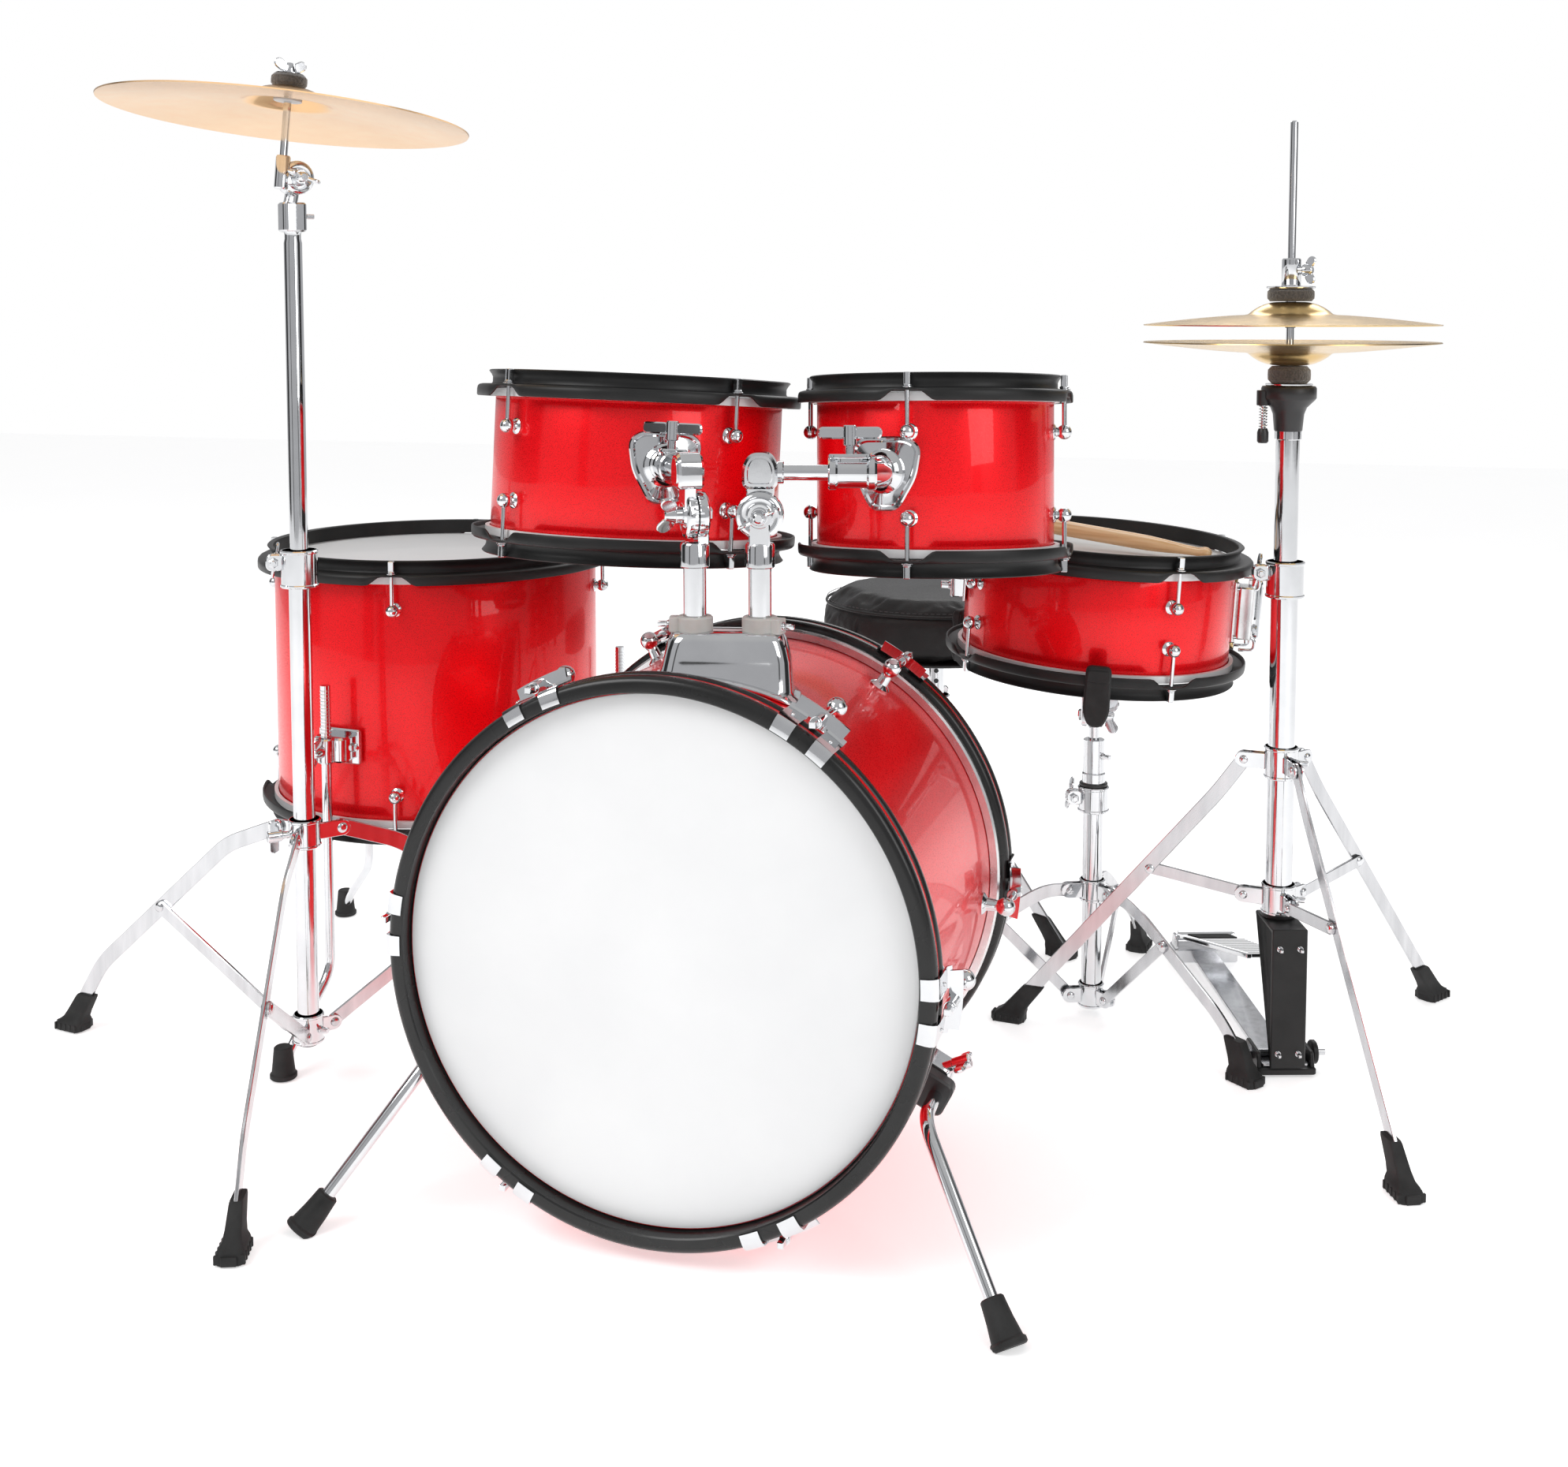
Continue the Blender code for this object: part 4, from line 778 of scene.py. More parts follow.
def claw(shape, place, face, side, angle):
    """Two prongs over the hoop, the bridge between them, and the tension rod to its lug."""
    outer, inner = BASS_HOOP_R + 0.0006, BASS_R + 0.003
    thick, back = 0.0014, face - BASS_HOOP_WIDTH
    strap = [
        (inner, face + 0.0002), (outer - 0.006, face + 0.0002), (outer - 0.003, face - 0.0006),
        (outer - 0.0008, face - 0.0026), (outer, face - 0.006), (outer, back - 0.001),
        (outer + 0.003, back - 0.004), (outer + 0.003 + thick, back - 0.0034),
        (outer + thick, back - 0.0002), (outer + thick, face - 0.0056),
        (outer + thick * 0.6, face - 0.0016), (outer - 0.0022, face + 0.0008),
        (outer - 0.0056, face + 0.0002 + thick), (inner, face + 0.0002 + thick),
    ]
    for turn in (-CLAW_HALF, CLAW_HALF):
        shape.turn(flipped(strap, side), place, 6, (angle + turn - 2.1, angle + turn + 2.1))
    reach = BASS_R + BASS_ROD_OUT
    bridge = [(outer + 0.0022, back - 0.0016), (reach - 0.001, back - 0.0022),
              (reach + 0.006, back - 0.005), (reach + 0.006, back - 0.0068),
              (reach - 0.0015, back - 0.0048), (outer + 0.0022, back - 0.0046)]
    shape.turn(flipped(bridge, side), place, 14, (angle - 5.6, angle + 5.6))
    for turn in (-CLAW_HALF, CLAW_HALF):
        shape.ball(polar(outer + 0.0016, angle + turn, side * (back + 0.014)), 0.0016, place, 12)
    along = place.to_3x3() @ Vector((0.0, 0.0, side))
    lug_z = face - BASS_LUG_BACK

    def spot(z):
        return place @ polar(reach, angle, side * z)

    shape.rod(spot(lug_z), spot(back), 0.0024, 18)
    shape.rod(spot(back - 0.014), spot(back + 0.013), 0.0046, 24)
    key_bolt(shape, facing(spot(back + 0.0125), along), 0.95, 0.005)
    root = place @ polar(BASS_R - 0.0005, angle, side * lug_z)
    outward = place.to_3x3() @ polar(1.0, angle)
    centre = BASS_ROD_OUT + 0.0005
    post = [(0.0092, 0.0), (0.0094, 0.002), (0.008, 0.0034), (0.0056, 0.0052), (0.0052, 0.009),
            (0.005, 0.0118), (0.0046, 0.0138)]
    ball = [(0.008 * math.cos(a), centre + 0.008 * math.sin(a))
            for a in (math.radians(-50 + 140 * i / 10) for i in range(11))]
    shape.lathe(post + ball, facing(root, outward), 32)


# ---- tom holder -------------------------------------------------------------------------
def rounded_polygon(corners, fillet, cuts=6):
    """A closed outline with every corner softened."""
    corners = [Vector((x, y, 0.0)) for x, y in corners]
    points = []
    for i, corner in enumerate(corners):
        run = softened([corners[i - 1], corner, corners[(i + 1) % len(corners)]], fillet, cuts)
        points += [(p.x, p.y) for p in run[1:-1]]
    return points


def dense(outline, step):
    """The closed outline with its long edges cut into short ones."""
    points = []
    for a, b in zip(outline, outline[1:] + outline[:1]):
        a, b = Vector(a), Vector(b)
        parts = max(1, math.ceil((b - a).length / step))
        points += [tuple(a.lerp(b, i / parts)) for i in range(parts)]
    return points


def tom_mount(bass):
    """The chrome bridge: its foot follows the shell, and the posts enter its crown."""
    posts = [pivot("left_tom_yaw"), pivot("right_tom_yaw")]
    along = (posts[1] - posts[0]).normalized()
    across = UP.cross(along)
    centre = (posts[0] + posts[1]) / 2
    drop = bass.col[2].z / bass.col[2].y

    def saddle(point):
        axis = bass.translation.z + (point.y - bass.translation.y) * drop
        return axis + math.sqrt(BASS_R**2 - (point.x - bass.translation.x) ** 2)

    shape, rings = Shape(), []
    for width, depth, corner, lift, height in (
        (0.112, 0.05, 0.014, 0.0003, None), (0.115, 0.053, 0.015, 0.0014, None),
        (0.1155, 0.0535, 0.015, 0.003, None), (0.113, 0.051, 0.014, 0.0046, None),
        (0.106, 0.044, 0.013, 0.0054, None), (0.1035, 0.042, 0.013, 0.0085, None),
        (0.1, 0.0405, 0.013, 0.0, 0.444), (0.096, 0.039, 0.013, 0.0, 0.453),
        (0.0925, 0.0365, 0.013, 0.0, 0.4595), (0.088, 0.0325, 0.013, 0.0, 0.464),
        (0.082, 0.027, 0.012, 0.0, 0.4662), (0.07, 0.016, 0.007, 0.0, 0.4668),
    ):
        ring = []
        for x, y in dense(rounded_box(width, depth, corner, 6), 0.007):
            spot = centre + along * x + across * y
            ring.append(level(spot, height or saddle(spot) + lift))
        rings.append(ring)
    shape.skin([resampled(ring, 96) for ring in rings])
    collars = Shape()
    for post, turn in zip(posts, (-75.0, 80.0)):
        here = standing(post)
        collars.collar(0.0142, POST_R + GAP, MOUNT_TOP - 0.001, MOUNT_TOP + 0.0125, here, 48, 0.0012)
        outward = compass(turn)
        block = facing(level(post, MOUNT_TOP + 0.006) + outward * 0.0145, UP, outward)
        collars.box((0.011, 0.013, 0.0118), block, 0.002)
        key_bolt(shape, on_tube(post, MOUNT_TOP + 0.006, turn, 0.0195), 0.8, 0.0046)
    shape.piece("tom_mount_casting", CHROME, "kit", "chrome", "tom_mount_base", smooth=50)
    collars.piece("tom_mount_collars", NYLON, "kit", "grey_nylon")


def resampled(ring, count):
    """The closed ring's points, spread evenly by length."""
    loop = ring + [ring[0]]
    reach = [0.0]
    for a, b in zip(loop, loop[1:]):
        reach.append(reach[-1] + (b - a).length)
    points, i = [], 0
    for k in range(count):
        target = reach[-1] * k / count
        while reach[i + 1] < target:
            i += 1
        t = (target - reach[i]) / max(1e-9, reach[i + 1] - reach[i])
        points.append(loop[i].lerp(loop[i + 1], t))
    return points


def ratchet(shape, place, near, far, radius):
    """A toothed disc between two heights on place's Z, domed towards far."""
    out = 1.0 if far > near else -1.0
    deep = abs(far - near)

    def section(angle):
        tooth = 0.0006 if (angle // 7.5) % 2 else 0.0
        line = [
            (0.003, 0.0), (radius - 0.0008 - tooth, 0.0), (radius - tooth, 0.0008),
            (radius - tooth, deep * 0.3), (radius, deep * 0.36), (radius, deep * 0.66),
            (radius - 0.0012, deep * 0.8), (radius - 0.0034, deep * 0.86),
            (radius - 0.005, deep * 0.78), (radius - 0.0078, deep * 0.8),
            (radius - 0.0094, deep), (0.003, deep),
        ]
        return [(r, near + out * z) for r, z in line]

    shape.turn(section, place, 96)


def rack_holder(prefix, reach, wing_side, handle_hint):
    """A tom's post, its ratchet, the arm and the bracket on the tom."""
    post, centre = pivot(prefix + "_yaw"), pivot(prefix + "_tilt")
    axis = Vector(JOINTS[prefix + "_tilt"]["axis"]).normalized()
    outward = UP.cross(axis)
    disc = facing(centre, axis, outward)
    fixed, moving = Shape(), Shape()
    fixed.rod(level(post, 0.4375), level(post, POST_TOP), POST_R, 40)
    sleeve = [(POST_R, 0.516), (SLEEVE_R - 0.0008, 0.516), (SLEEVE_R, 0.5168), (SLEEVE_R, 0.5335),
              (SLEEVE_R - 0.001, 0.5352), (SLEEVE_R - 0.0036, 0.5362), (0.0, 0.5364)]
    fixed.lathe([(0.0, 0.516)] + sleeve, standing(post), 40)
    fixed.slab(rounded_box(0.0165, 0.022, 0.004), 0.009,
               facing(level(centre, 0.5425) + axis * 0.0054, axis, outward), 0.001)
    ratchet(fixed, disc, 0.0004, 0.0105, 0.0185)
    ratchet(moving, disc, -0.0004, -0.0105, 0.0185)
    side = centre - axis * 0.0054
    upright = facing(side, axis, outward)
    moving.slab(rounded_polygon([(-0.0095, 0.004), (0.0095, 0.004), (0.012, 0.03),
                                 (-0.012, 0.03)], 0.004), 0.0094, upright, 0.001)
    tomb = [(-0.0138, 0.0205), (0.0138, 0.0205), (0.0142, 0.038), (0.008, 0.049),
            (-0.008, 0.049), (-0.0142, 0.038)]
    moving.slab(rounded_polygon(tomb, 0.0065), 0.0205, upright, 0.0022)
    moving.slab(rounded_polygon([(x * 0.72, 0.035 + (y - 0.035) * 0.72) for x, y in tomb], 0.005),
                0.0222, upright, 0.001)
    arm_z = ARM_Z - centre.z
    start = side + UP * arm_z
    end = start + outward * reach
    moving.rod(start, end, ARM_R, 32)
    moving.collar(ARM_R + 0.0026, ARM_R - 0.001, 0.013, 0.0185, facing(start, outward), 32)
    wing = fixed if wing_side > 0 else moving
    bolt = facing(centre + axis * wing_side * 0.01, axis * wing_side, Vector((1, 0.2, 0.5)))
    wing.rod(bolt.translation, bolt @ Vector((0, 0, 0.006)), 0.0068, 32)
    butterfly(wing, bolt @ Matrix.Translation((0, 0, 0.004)), 0.0095, 0.037, 0.0115)
    nut = facing(centre - axis * wing_side * 0.01, -axis * wing_side)
    other = moving if wing_side > 0 else fixed
    other.lathe([(0.0058, 0.0), (0.0058, 0.003), (0.0046, 0.004)], nut, 6)
    fixed.piece(prefix + "_post_chrome", CHROME, prefix + "_post", "chrome", prefix + "_post")
    moving.piece(prefix + "_arm_chrome", CHROME, prefix + "_arm", "chrome", prefix + "_arm")
    tom_bracket(prefix, end, outward, handle_hint)


def tom_bracket(prefix, end, direction, handle_hint):
    """The shield on the shell, the clamp that takes the arm, and the T-handle over it."""
    place, _ = drum_place(prefix + "_batter_head", prefix + "_resonant_head")
    radius = TOMS[prefix][0]
    local = place.inverted()
    mouth = end - direction * 0.03
    centre = local @ ((mouth + end) / 2)
    angle = math.degrees(math.atan2(centre.y, centre.x))
    out = Vector((centre.x, centre.y, 0.0)).length
    shape = Shape()
    corners = [(-0.031, 0.02), (-0.02, 0.0285), (0.02, 0.0285), (0.031, 0.02),
               (0.027, -0.005), (0.012, -0.032), (-0.012, -0.032), (-0.027, -0.005)]
    outline = dense(rounded_polygon(corners, 0.008), 0.004)
    rings = []
    for lift, cut, shrink in ((0.0003, 0.0, 1.0), (0.003, 0.0, 1.0), (0.0044, 0.0012, 1.0),
                              (0.0044, 0.0034, 1.0), (0.003, 0.005, 1.0), (0.0032, 0.005, 0.8),
                              (0.0038, 0.005, 0.6), (0.005, 0.005, 0.4), (0.006, 0.005, 0.15)):
        ring = []
        for x, y in inset(outline, cut) if cut else outline:
            turn = angle + math.degrees(x * shrink / radius)
            ring.append(place @ polar(radius + lift, turn, centre.z + y * shrink))
        rings.append(ring)
    shape.skin(rings)
    spot = place @ centre
    outward = (place.to_3x3() @ polar(1.0, angle)).normalized()
    depth = out - radius
    neck = facing(place @ polar(radius + 0.002, angle, centre.z), outward, UP)
    shape.lathe([(0.0185, 0.0), (0.018, 0.003), (0.0135, 0.006), (0.0118, 0.009),
                 (0.0118, max(0.01, depth))], neck, 32)
    sleeve = facing(mouth - direction * 0.002, direction)
    shape.lathe([(ARM_R + 0.0004, 0.0), (0.0125, 0.0), (0.0137, 0.0012), (0.0137, 0.0058),
                 (0.0122, 0.0074), (0.0122, 0.03), (0.0137, 0.0316), (0.0137, 0.0362),
                 (0.012, 0.038), (0.0, 0.0384)], sleeve, 40)
    rise = place.to_3x3() @ UP
    shelf = facing(spot + rise * 0.0128, rise, direction)
    shape.slab(rounded_box(0.034, 0.025, 0.006), 0.0036, shelf, 0.001)
    shape.slab(rounded_box(0.022, 0.018, 0.005), 0.01, shelf @ Matrix.Translation((0, 0, -0.004)), 0.001)
    t_handle(shape, facing(spot + rise * 0.0145, rise, handle_hint), 0.0105, 0.05)
    shape.piece(prefix + "_bracket", CHROME, prefix, "chrome")


# ---- spurs, floor tom legs and snare fittings -------------------------------------------
def rubber_cone(shape, base, up, low_r, top_r, height):
    """A flared round rubber foot."""
    profile = [(low_r - 0.001, 0.0), (low_r, 0.001), (low_r, 0.0042), (low_r - 0.0016, 0.0056),
               (top_r + 0.0012, height * 0.55), (top_r, height - 0.0012), (top_r - 0.0012, height)]
    shape.lathe(profile, facing(base, up), 32)


def spur(side, name, bass):
    """The bent rod with its foot, and the bracket on the shell that it turns in."""
    axle = pivot(name + "_fold")
    back = -bass.col[2].to_3d()
    low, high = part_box(name)
    foot = Vector((high.x - 0.0135 if side > 0 else low.x + 0.0135, low.y + 0.0135, HOVER))
    knee = axle - back * 0.062
    rise = (knee - foot).normalized()
    rods, rubber = Shape(), Shape()
    path = softened([axle + back * 0.026, knee, foot + rise * 0.012], 0.018, 10)
    rods.tube(path, 0.0055, 20)
    rods.piece(name + "_rod", CHROME, name, "chrome", name)
    rubber_cone(rubber, foot, rise, 0.0135, 0.0088, 0.034)
    for vertex in rubber.mesh.verts:
        vertex.co.z = max(vertex.co.z, HOVER)
    rubber.piece(name + "_foot", RUBBER, name, "black_rubber")
    outward = Vector((axle.x - bass.translation.x, 0.0, axle.z - bass.translation.z)).normalized()
    block = facing(axle - outward * 0.0095, -back, outward)
    chrome, black = Shape(), Shape()
    chrome.slab(rounded_box(0.026, 0.034, 0.005), 0.026,
                block @ Matrix.Translation((-0.001, 0.0, -0.006)), 0.0014)
    black.slab(rounded_box(0.036, 0.028, 0.006), 0.014,
               block @ Matrix.Translation((0.002, 0.0, 0.014)), 0.0016)
    upward = back.cross(outward) * (-1.0 if side > 0 else 1.0)
    lift = upward if upward.z > 0 else -upward
    screw = facing(axle - outward * 0.004 + lift * 0.014, (outward * 0.8 + lift).normalized(), back)
    chrome.rod(screw @ Vector((0, 0, -0.01)), screw @ Vector((0, 0, 0.008)), 0.0046, 24)
    t_handle(chrome, screw @ Matrix.Translation((0, 0, 0.004)), 0.006, 0.036)
    chrome.piece(name + "_bracket", CHROME, "kit", "chrome")
    black.piece(name + "_bracket_insert", PLASTIC, "kit", "black_plastic")


def floor_tom_legs(place):
    centre = place.translation
    clamps = Shape()
    for degrees, letter in zip(FLOOR_LEGS, "abc"):
        outward, name = compass(degrees), "floor_tom_leg_" + letter
        top = level(centre + outward * FLOOR_LEG_OUT, 0.358)
        foot = level(centre + outward * FLOOR_FOOT_OUT, HOVER)
        ankle = level(foot, 0.026) - outward * 0.012
        rods, rubber = Shape(), Shape()
        rods.tube(softened([top, level(top, 0.078), ankle, foot + UP * 0.008], 0.016, 8), 0.0048, 18)
        here = standing(top)
        for i in range(14):
            height = 0.308 + 0.0034 * i
            rods.collar(0.0052, 0.004, height, height + 0.0015, here, 18, 0.0004)
        rods.piece(name + "_rod", CHROME, name, "chrome", name)
        rubber_cone(rubber, foot, UP, 0.0125, 0.0085, 0.03)
        rubber.piece(name + "_foot", RUBBER, name, "black_rubber")
        grip = level(top, 0.295)
        block = facing(grip - outward * 0.011, UP, outward)
        clamps.slab(rounded_box(0.021, 0.036, 0.007), 0.024, block, 0.002)
        clamps.slab(rounded_box(0.006, 0.048, 0.0025), 0.034,
                    facing(grip - outward * 0.0222, UP, outward), 0.0015)
        clamps.collar(0.0092, 0.0052, 0.283, 0.307, here, 28, 0.0014)
        across = outward.cross(UP)
        for side in (1, -1):
            bolt = facing(grip - outward * 0.0195 + across * side * 0.0195, outward)
            clamps.lathe([(0.0038, 0.0), (0.0038, 0.0024), (0.0026, 0.0036)], bolt, 20)
        wing = facing(grip + outward * 0.0085, outward, Vector((0.3, 0, 1)))
        butterfly(clamps, wing, 0.01, 0.034, 0.011)
    clamps.piece("floor_tom_leg_clamps", CHROME, "kit", "chrome")


def snare_fittings(place):
    """Throw-off, butt clamp, and the clear strap's plates; Z is the drum's axis."""
    radius = TOMS["snare"][0]
    outward, rise = place.to_3x3() @ compass(103.0), place.to_3x3() @ UP
    across = outward.cross(rise)
    root = place.translation + outward * radius
    chrome, alloy, brass = Shape(), Shape(), Shape()
    for size, reach, tall, ease in (((0.015, 0.029, 0.003), 0.0125, 0.052, 0.0014),
                                    ((0.006, 0.022, 0.002), 0.0032, 0.06, 0.0008)):
        alloy.slab(rounded_box(*size), tall, facing(root + outward * reach, rise, outward), ease)
    for end in (1, -1):
        for side in (1, -1):
            a = root + outward * 0.003 + across * side * 0.012 + rise * end * 0.024
            b = a + outward * 0.021
            c = b + rise * end * 0.012
            d = a + rise * end * 0.012 + outward * 0.006
            chrome.tube(softened([a, b, c, d], 0.005, 5), 0.0017, 10)
        bolt = facing(root + outward * 0.002 + rise * end * 0.0335, outward)
        brass.lathe([(0.0046, 0.0), (0.0046, 0.002), (0.0036, 0.0034), (0.002, 0.004)], bolt, 24)
        key_bolt(chrome, facing(root + outward * 0.0185 + rise * end * 0.0225, rise * end), 0.75, 0.0042)
    beside = place.to_3x3() @ compass(-78.0)
    cross = beside.cross(rise)
    foot = place.translation + beside * radius + rise * 0.006
    for size, reach, tall, ease in (((0.016, 0.029, 0.0022), 0.0075, 0.019, 0.0011),
                                    ((0.003, 0.034, 0.001), 0.0018, 0.026, 0.0006)):
        chrome.slab(rounded_box(*size), tall, facing(foot + beside * reach, rise, beside), ease)
    for side in (1, -1):
        key_bolt(chrome, facing(foot + beside * 0.0152 + cross * side * 0.0085, beside), 0.78, 0.0044)
    chrome.piece("snare_strainer_wires", CHROME, "snare", "chrome")
    alloy.piece("snare_strainer_box", SILVER, "snare", "chrome")
    brass.piece("snare_strainer_bolts", BRASS, "snare", "cymbal_brass")
    lever = Shape()
    centre = place.translation + outward * (radius + 0.0268) + rise * 0.004
    raised = facing(centre + rise * 0.006, outward, across)
    lever.slab(rounded_box(0.017, 0.06, 0.0055), 0.0042, facing(centre, outward, across), 0.0014)
    lever.slab(rounded_box(0.01, 0.036, 0.0045), 0.0064, raised, 0.001)
    lever.rod(centre - rise * 0.02 - outward * 0.0045 - across * 0.011,
              centre - rise * 0.02 - outward * 0.0045 + across * 0.011, 0.0024, 16)
    lever.piece("snare_throw_off_lever", CHROME, "snare_strainer_lever", "chrome", "snare_strainer_lever")


def drumsticks():
    """Two maple sticks, tips on the head and butts over the rim."""
    place, _ = drum_place("snare_batter_head", "snare_resonant_head")
    turn = place.to_3x3()
    length, radius = 0.38, 0.0068
    rise = math.atan2(0.016, 0.244)
    head = SNARE_DEPTH / 2 - HOOP_RIM
    back = turn @ Vector((-math.cos(rise), 0.1, math.sin(rise))).normalized()
    shape = Shape()
    for side in (0.0, 1.0):
        tip = place @ Vector((0.108, -0.02 + side * radius * 1.82, head + radius + 2 * GAP))
        profile = [(0.0014, 0.0016), (0.0036, 0.003), (0.005, 0.0058), (0.0052, 0.0082),
                   (0.0044, 0.0112), (0.0036, 0.0138), (0.0034, 0.016), (0.004, 0.028),
                   (0.0056, 0.046), (0.0066, 0.062), (radius, 0.08), (radius, length - 0.003),
                   (radius - 0.001, length - 0.0008), (radius - 0.0034, length)]
        shape.lathe(profile, facing(tip, back), 32)
    along = facing(place.translation, turn @ UP, back)
    shape.piece("drumstick_pair", WOOD, "drumsticks", "stick_maple", "drumsticks", place=along)


# ---- stands -----------------------------------------------------------------------------
def leg_plane(axis, degrees, layer=0.0):
    """A frame whose X runs out along a leg, Y up and Z across it, shifted by layer."""
    outward = compass(degrees)
    across = outward.cross(UP)
    return axes(level(axis, 0.0) + across * layer, outward, UP, across)


def bar_outline(line, width, fillet=0.016):
    """The outline of a flat bar with round ends whose middle line runs through line."""
    path = softened([Vector((x, y, 0.0)) for x, y in line], fillet, 7)
    half = width / 2
    left, right, ends = [], [], []
    for i, point in enumerate(path):
        ahead = (path[min(i + 1, len(path) - 1)] - path[max(i - 1, 0)]).normalized()
        side = Vector((-ahead.y, ahead.x, 0.0)) * half
        left.append(point + side)
        right.append(point - side)
        ends.append(math.degrees(math.atan2(ahead.y, ahead.x)))
    tail = [path[-1] + polar(half, ends[-1] - 90 + 180 * i / 8) for i in range(1, 8)]
    nose = [path[0] + polar(half, ends[0] + 90 + 180 * i / 8) for i in range(1, 8)]
    points = right + tail + left[::-1] + nose
    return [(p.x, p.y) for p in points]


def bar(shape, axis, degrees, line, width, layer=0.0):
    shape.slab(bar_outline(line, width), PLATE, leg_plane(axis, degrees, layer), 0.0005)


def rivet(shape, axis, degrees, spot, low, high, radius=0.0048):
    """A domed rivet through the layers between low and high."""
    frame = leg_plane(axis, degrees) @ Matrix.Translation((spot[0], spot[1], 0.0))
    profile = [(radius * 0.4, low - 0.002), (radius * 0.8, low - 0.0014), (radius, low - 0.0002),
               (radius, low), (radius, high), (radius, high + 0.0002), (radius * 0.8, high + 0.0014),
               (radius * 0.4, high + 0.002)]
    shape.lathe(profile, frame, 24)


def boot(shape, axis, degrees, reach, lean, low=0.0):
    """A rubber boot on a flat leg: a sleeve along the leg over a wide notched sole."""
    frame = leg_plane(axis, degrees)
    rings = []
    for height, length, width in (
        (0.0, 0.03, 0.0205), (0.0012, 0.032, 0.0225), (0.008, 0.0312, 0.0218),
        (0.0102, 0.029, 0.02), (0.0135, 0.0245, 0.0155), (0.02, 0.0232, 0.013),
        (0.036, 0.0215, 0.0108), (0.0378, 0.0205, 0.0098), (0.038, 0.015, 0.005),
    ):
        centre = reach + lean * max(0.0, height - 0.006)
        rings.append([frame @ Vector((centre + x, low + height, z))
                      for x, z in rounded_box(length, width, min(length, width) * 0.24)])
    shape.skin(rings)
    for i in range(5):
        spot = reach - 0.0128 + 0.0064 * i
        shape.box((0.0024, 0.0074, 0.0238), frame @ Matrix.Translation((spot, low + 0.0042, 0.0)), 0.0006)
    for end in (1, -1):
        shape.box((0.0024, 0.0074, 0.012),
                  frame @ Matrix.Translation((reach + end * 0.0158, low + 0.0042, 0.0)), 0.0006)


def sleeve(shape, axis, outer, inner, low, high, lips=0.0):
    """A collar on a tube, with raised lips at both ends."""
    here = standing(axis)
    shape.collar(outer, inner, low, high, here, 48, 0.0009)
    if lips:
        shape.collar(outer + lips, inner, low, low + 0.0032, here, 48, 0.0009)
        shape.collar(outer + lips, inner, high - 0.0032, high, here, 48, 0.0009)


def clamp(shape, axis, outer, inner, low, high, degrees):
    """A height clamp: lipped sleeve, split boss, and a wing bolt across it."""
    sleeve(shape, axis, outer, inner, low, high, 0.0009)
    outward = compass(degrees)
    across = outward.cross(UP)
    height = high - 0.011
    spot = level(axis, height) + outward * (outer + 0.005)
    for side in (1, -1):
        shape.slab(rounded_box(0.016, 0.015, 0.0055), 0.0042,
                   facing(spot + across * side * 0.0032, across, outward), 0.0009)
    bolt = spot + outward * 0.001
    shape.rod(bolt - across * 0.011, bolt + across * 0.012, 0.0026, 18)
    wing = facing(bolt + across * 0.0062, across, Vector((0.2, 0, 1)))
    butterfly(shape, wing, 0.009, 0.034, 0.0105)
    shape.lathe([(0.0046, 0.0), (0.0046, 0.003), (0.0036, 0.0038)],
                facing(bolt - across * 0.0054, -across), 6)


def split_collar(shape, axis, outer, inner, low, high, turn, ear):
    """A leg collar with a pair of ears round each leg, and a key screw between two of them."""
    sleeve(shape, axis, outer, inner, low, high, 0.0007)
    for degrees in thirds(turn):
        for side in (1, -1):
            layer = side * (PLATE + 0.0006)
            line = [(outer - 0.002, ear[1]), (ear[0] + 0.001, ear[1])]
            shape.slab(bar_outline(line, min(0.015, high - low - 0.004)), 0.0022,
                       leg_plane(axis, degrees, layer), 0.0005)
        rivet(shape, axis, degrees, ear, -0.005, 0.005, 0.004)
    key_bolt(shape, on_tube(axis, (low + high) / 2, turn + 60, outer - 0.0006), 0.8, 0.0046)


def tripod(prefix, axis, turn, line, rivet_at, low_ear, width, lean, shape):
    """Legs, braces, rivets and boots of a fixed tripod."""
    bars, boots = Shape(), Shape()
    layer = PLATE + GAP
    for degrees in thirds(turn):
        bar(bars, axis, degrees, line, width)
        bar(bars, axis, degrees, [low_ear, rivet_at], width * 0.82, layer)
        rivet(shape, axis, degrees, rivet_at, -PLATE / 2, PLATE / 2 + layer)
        boot(boots, axis, degrees, line[-1][0] + 0.003, lean)
    bars.piece(prefix + "_bars", BAR, "kit", "chrome")
    boots.piece(prefix + "_boots", RUBBER, "kit", "black_rubber")


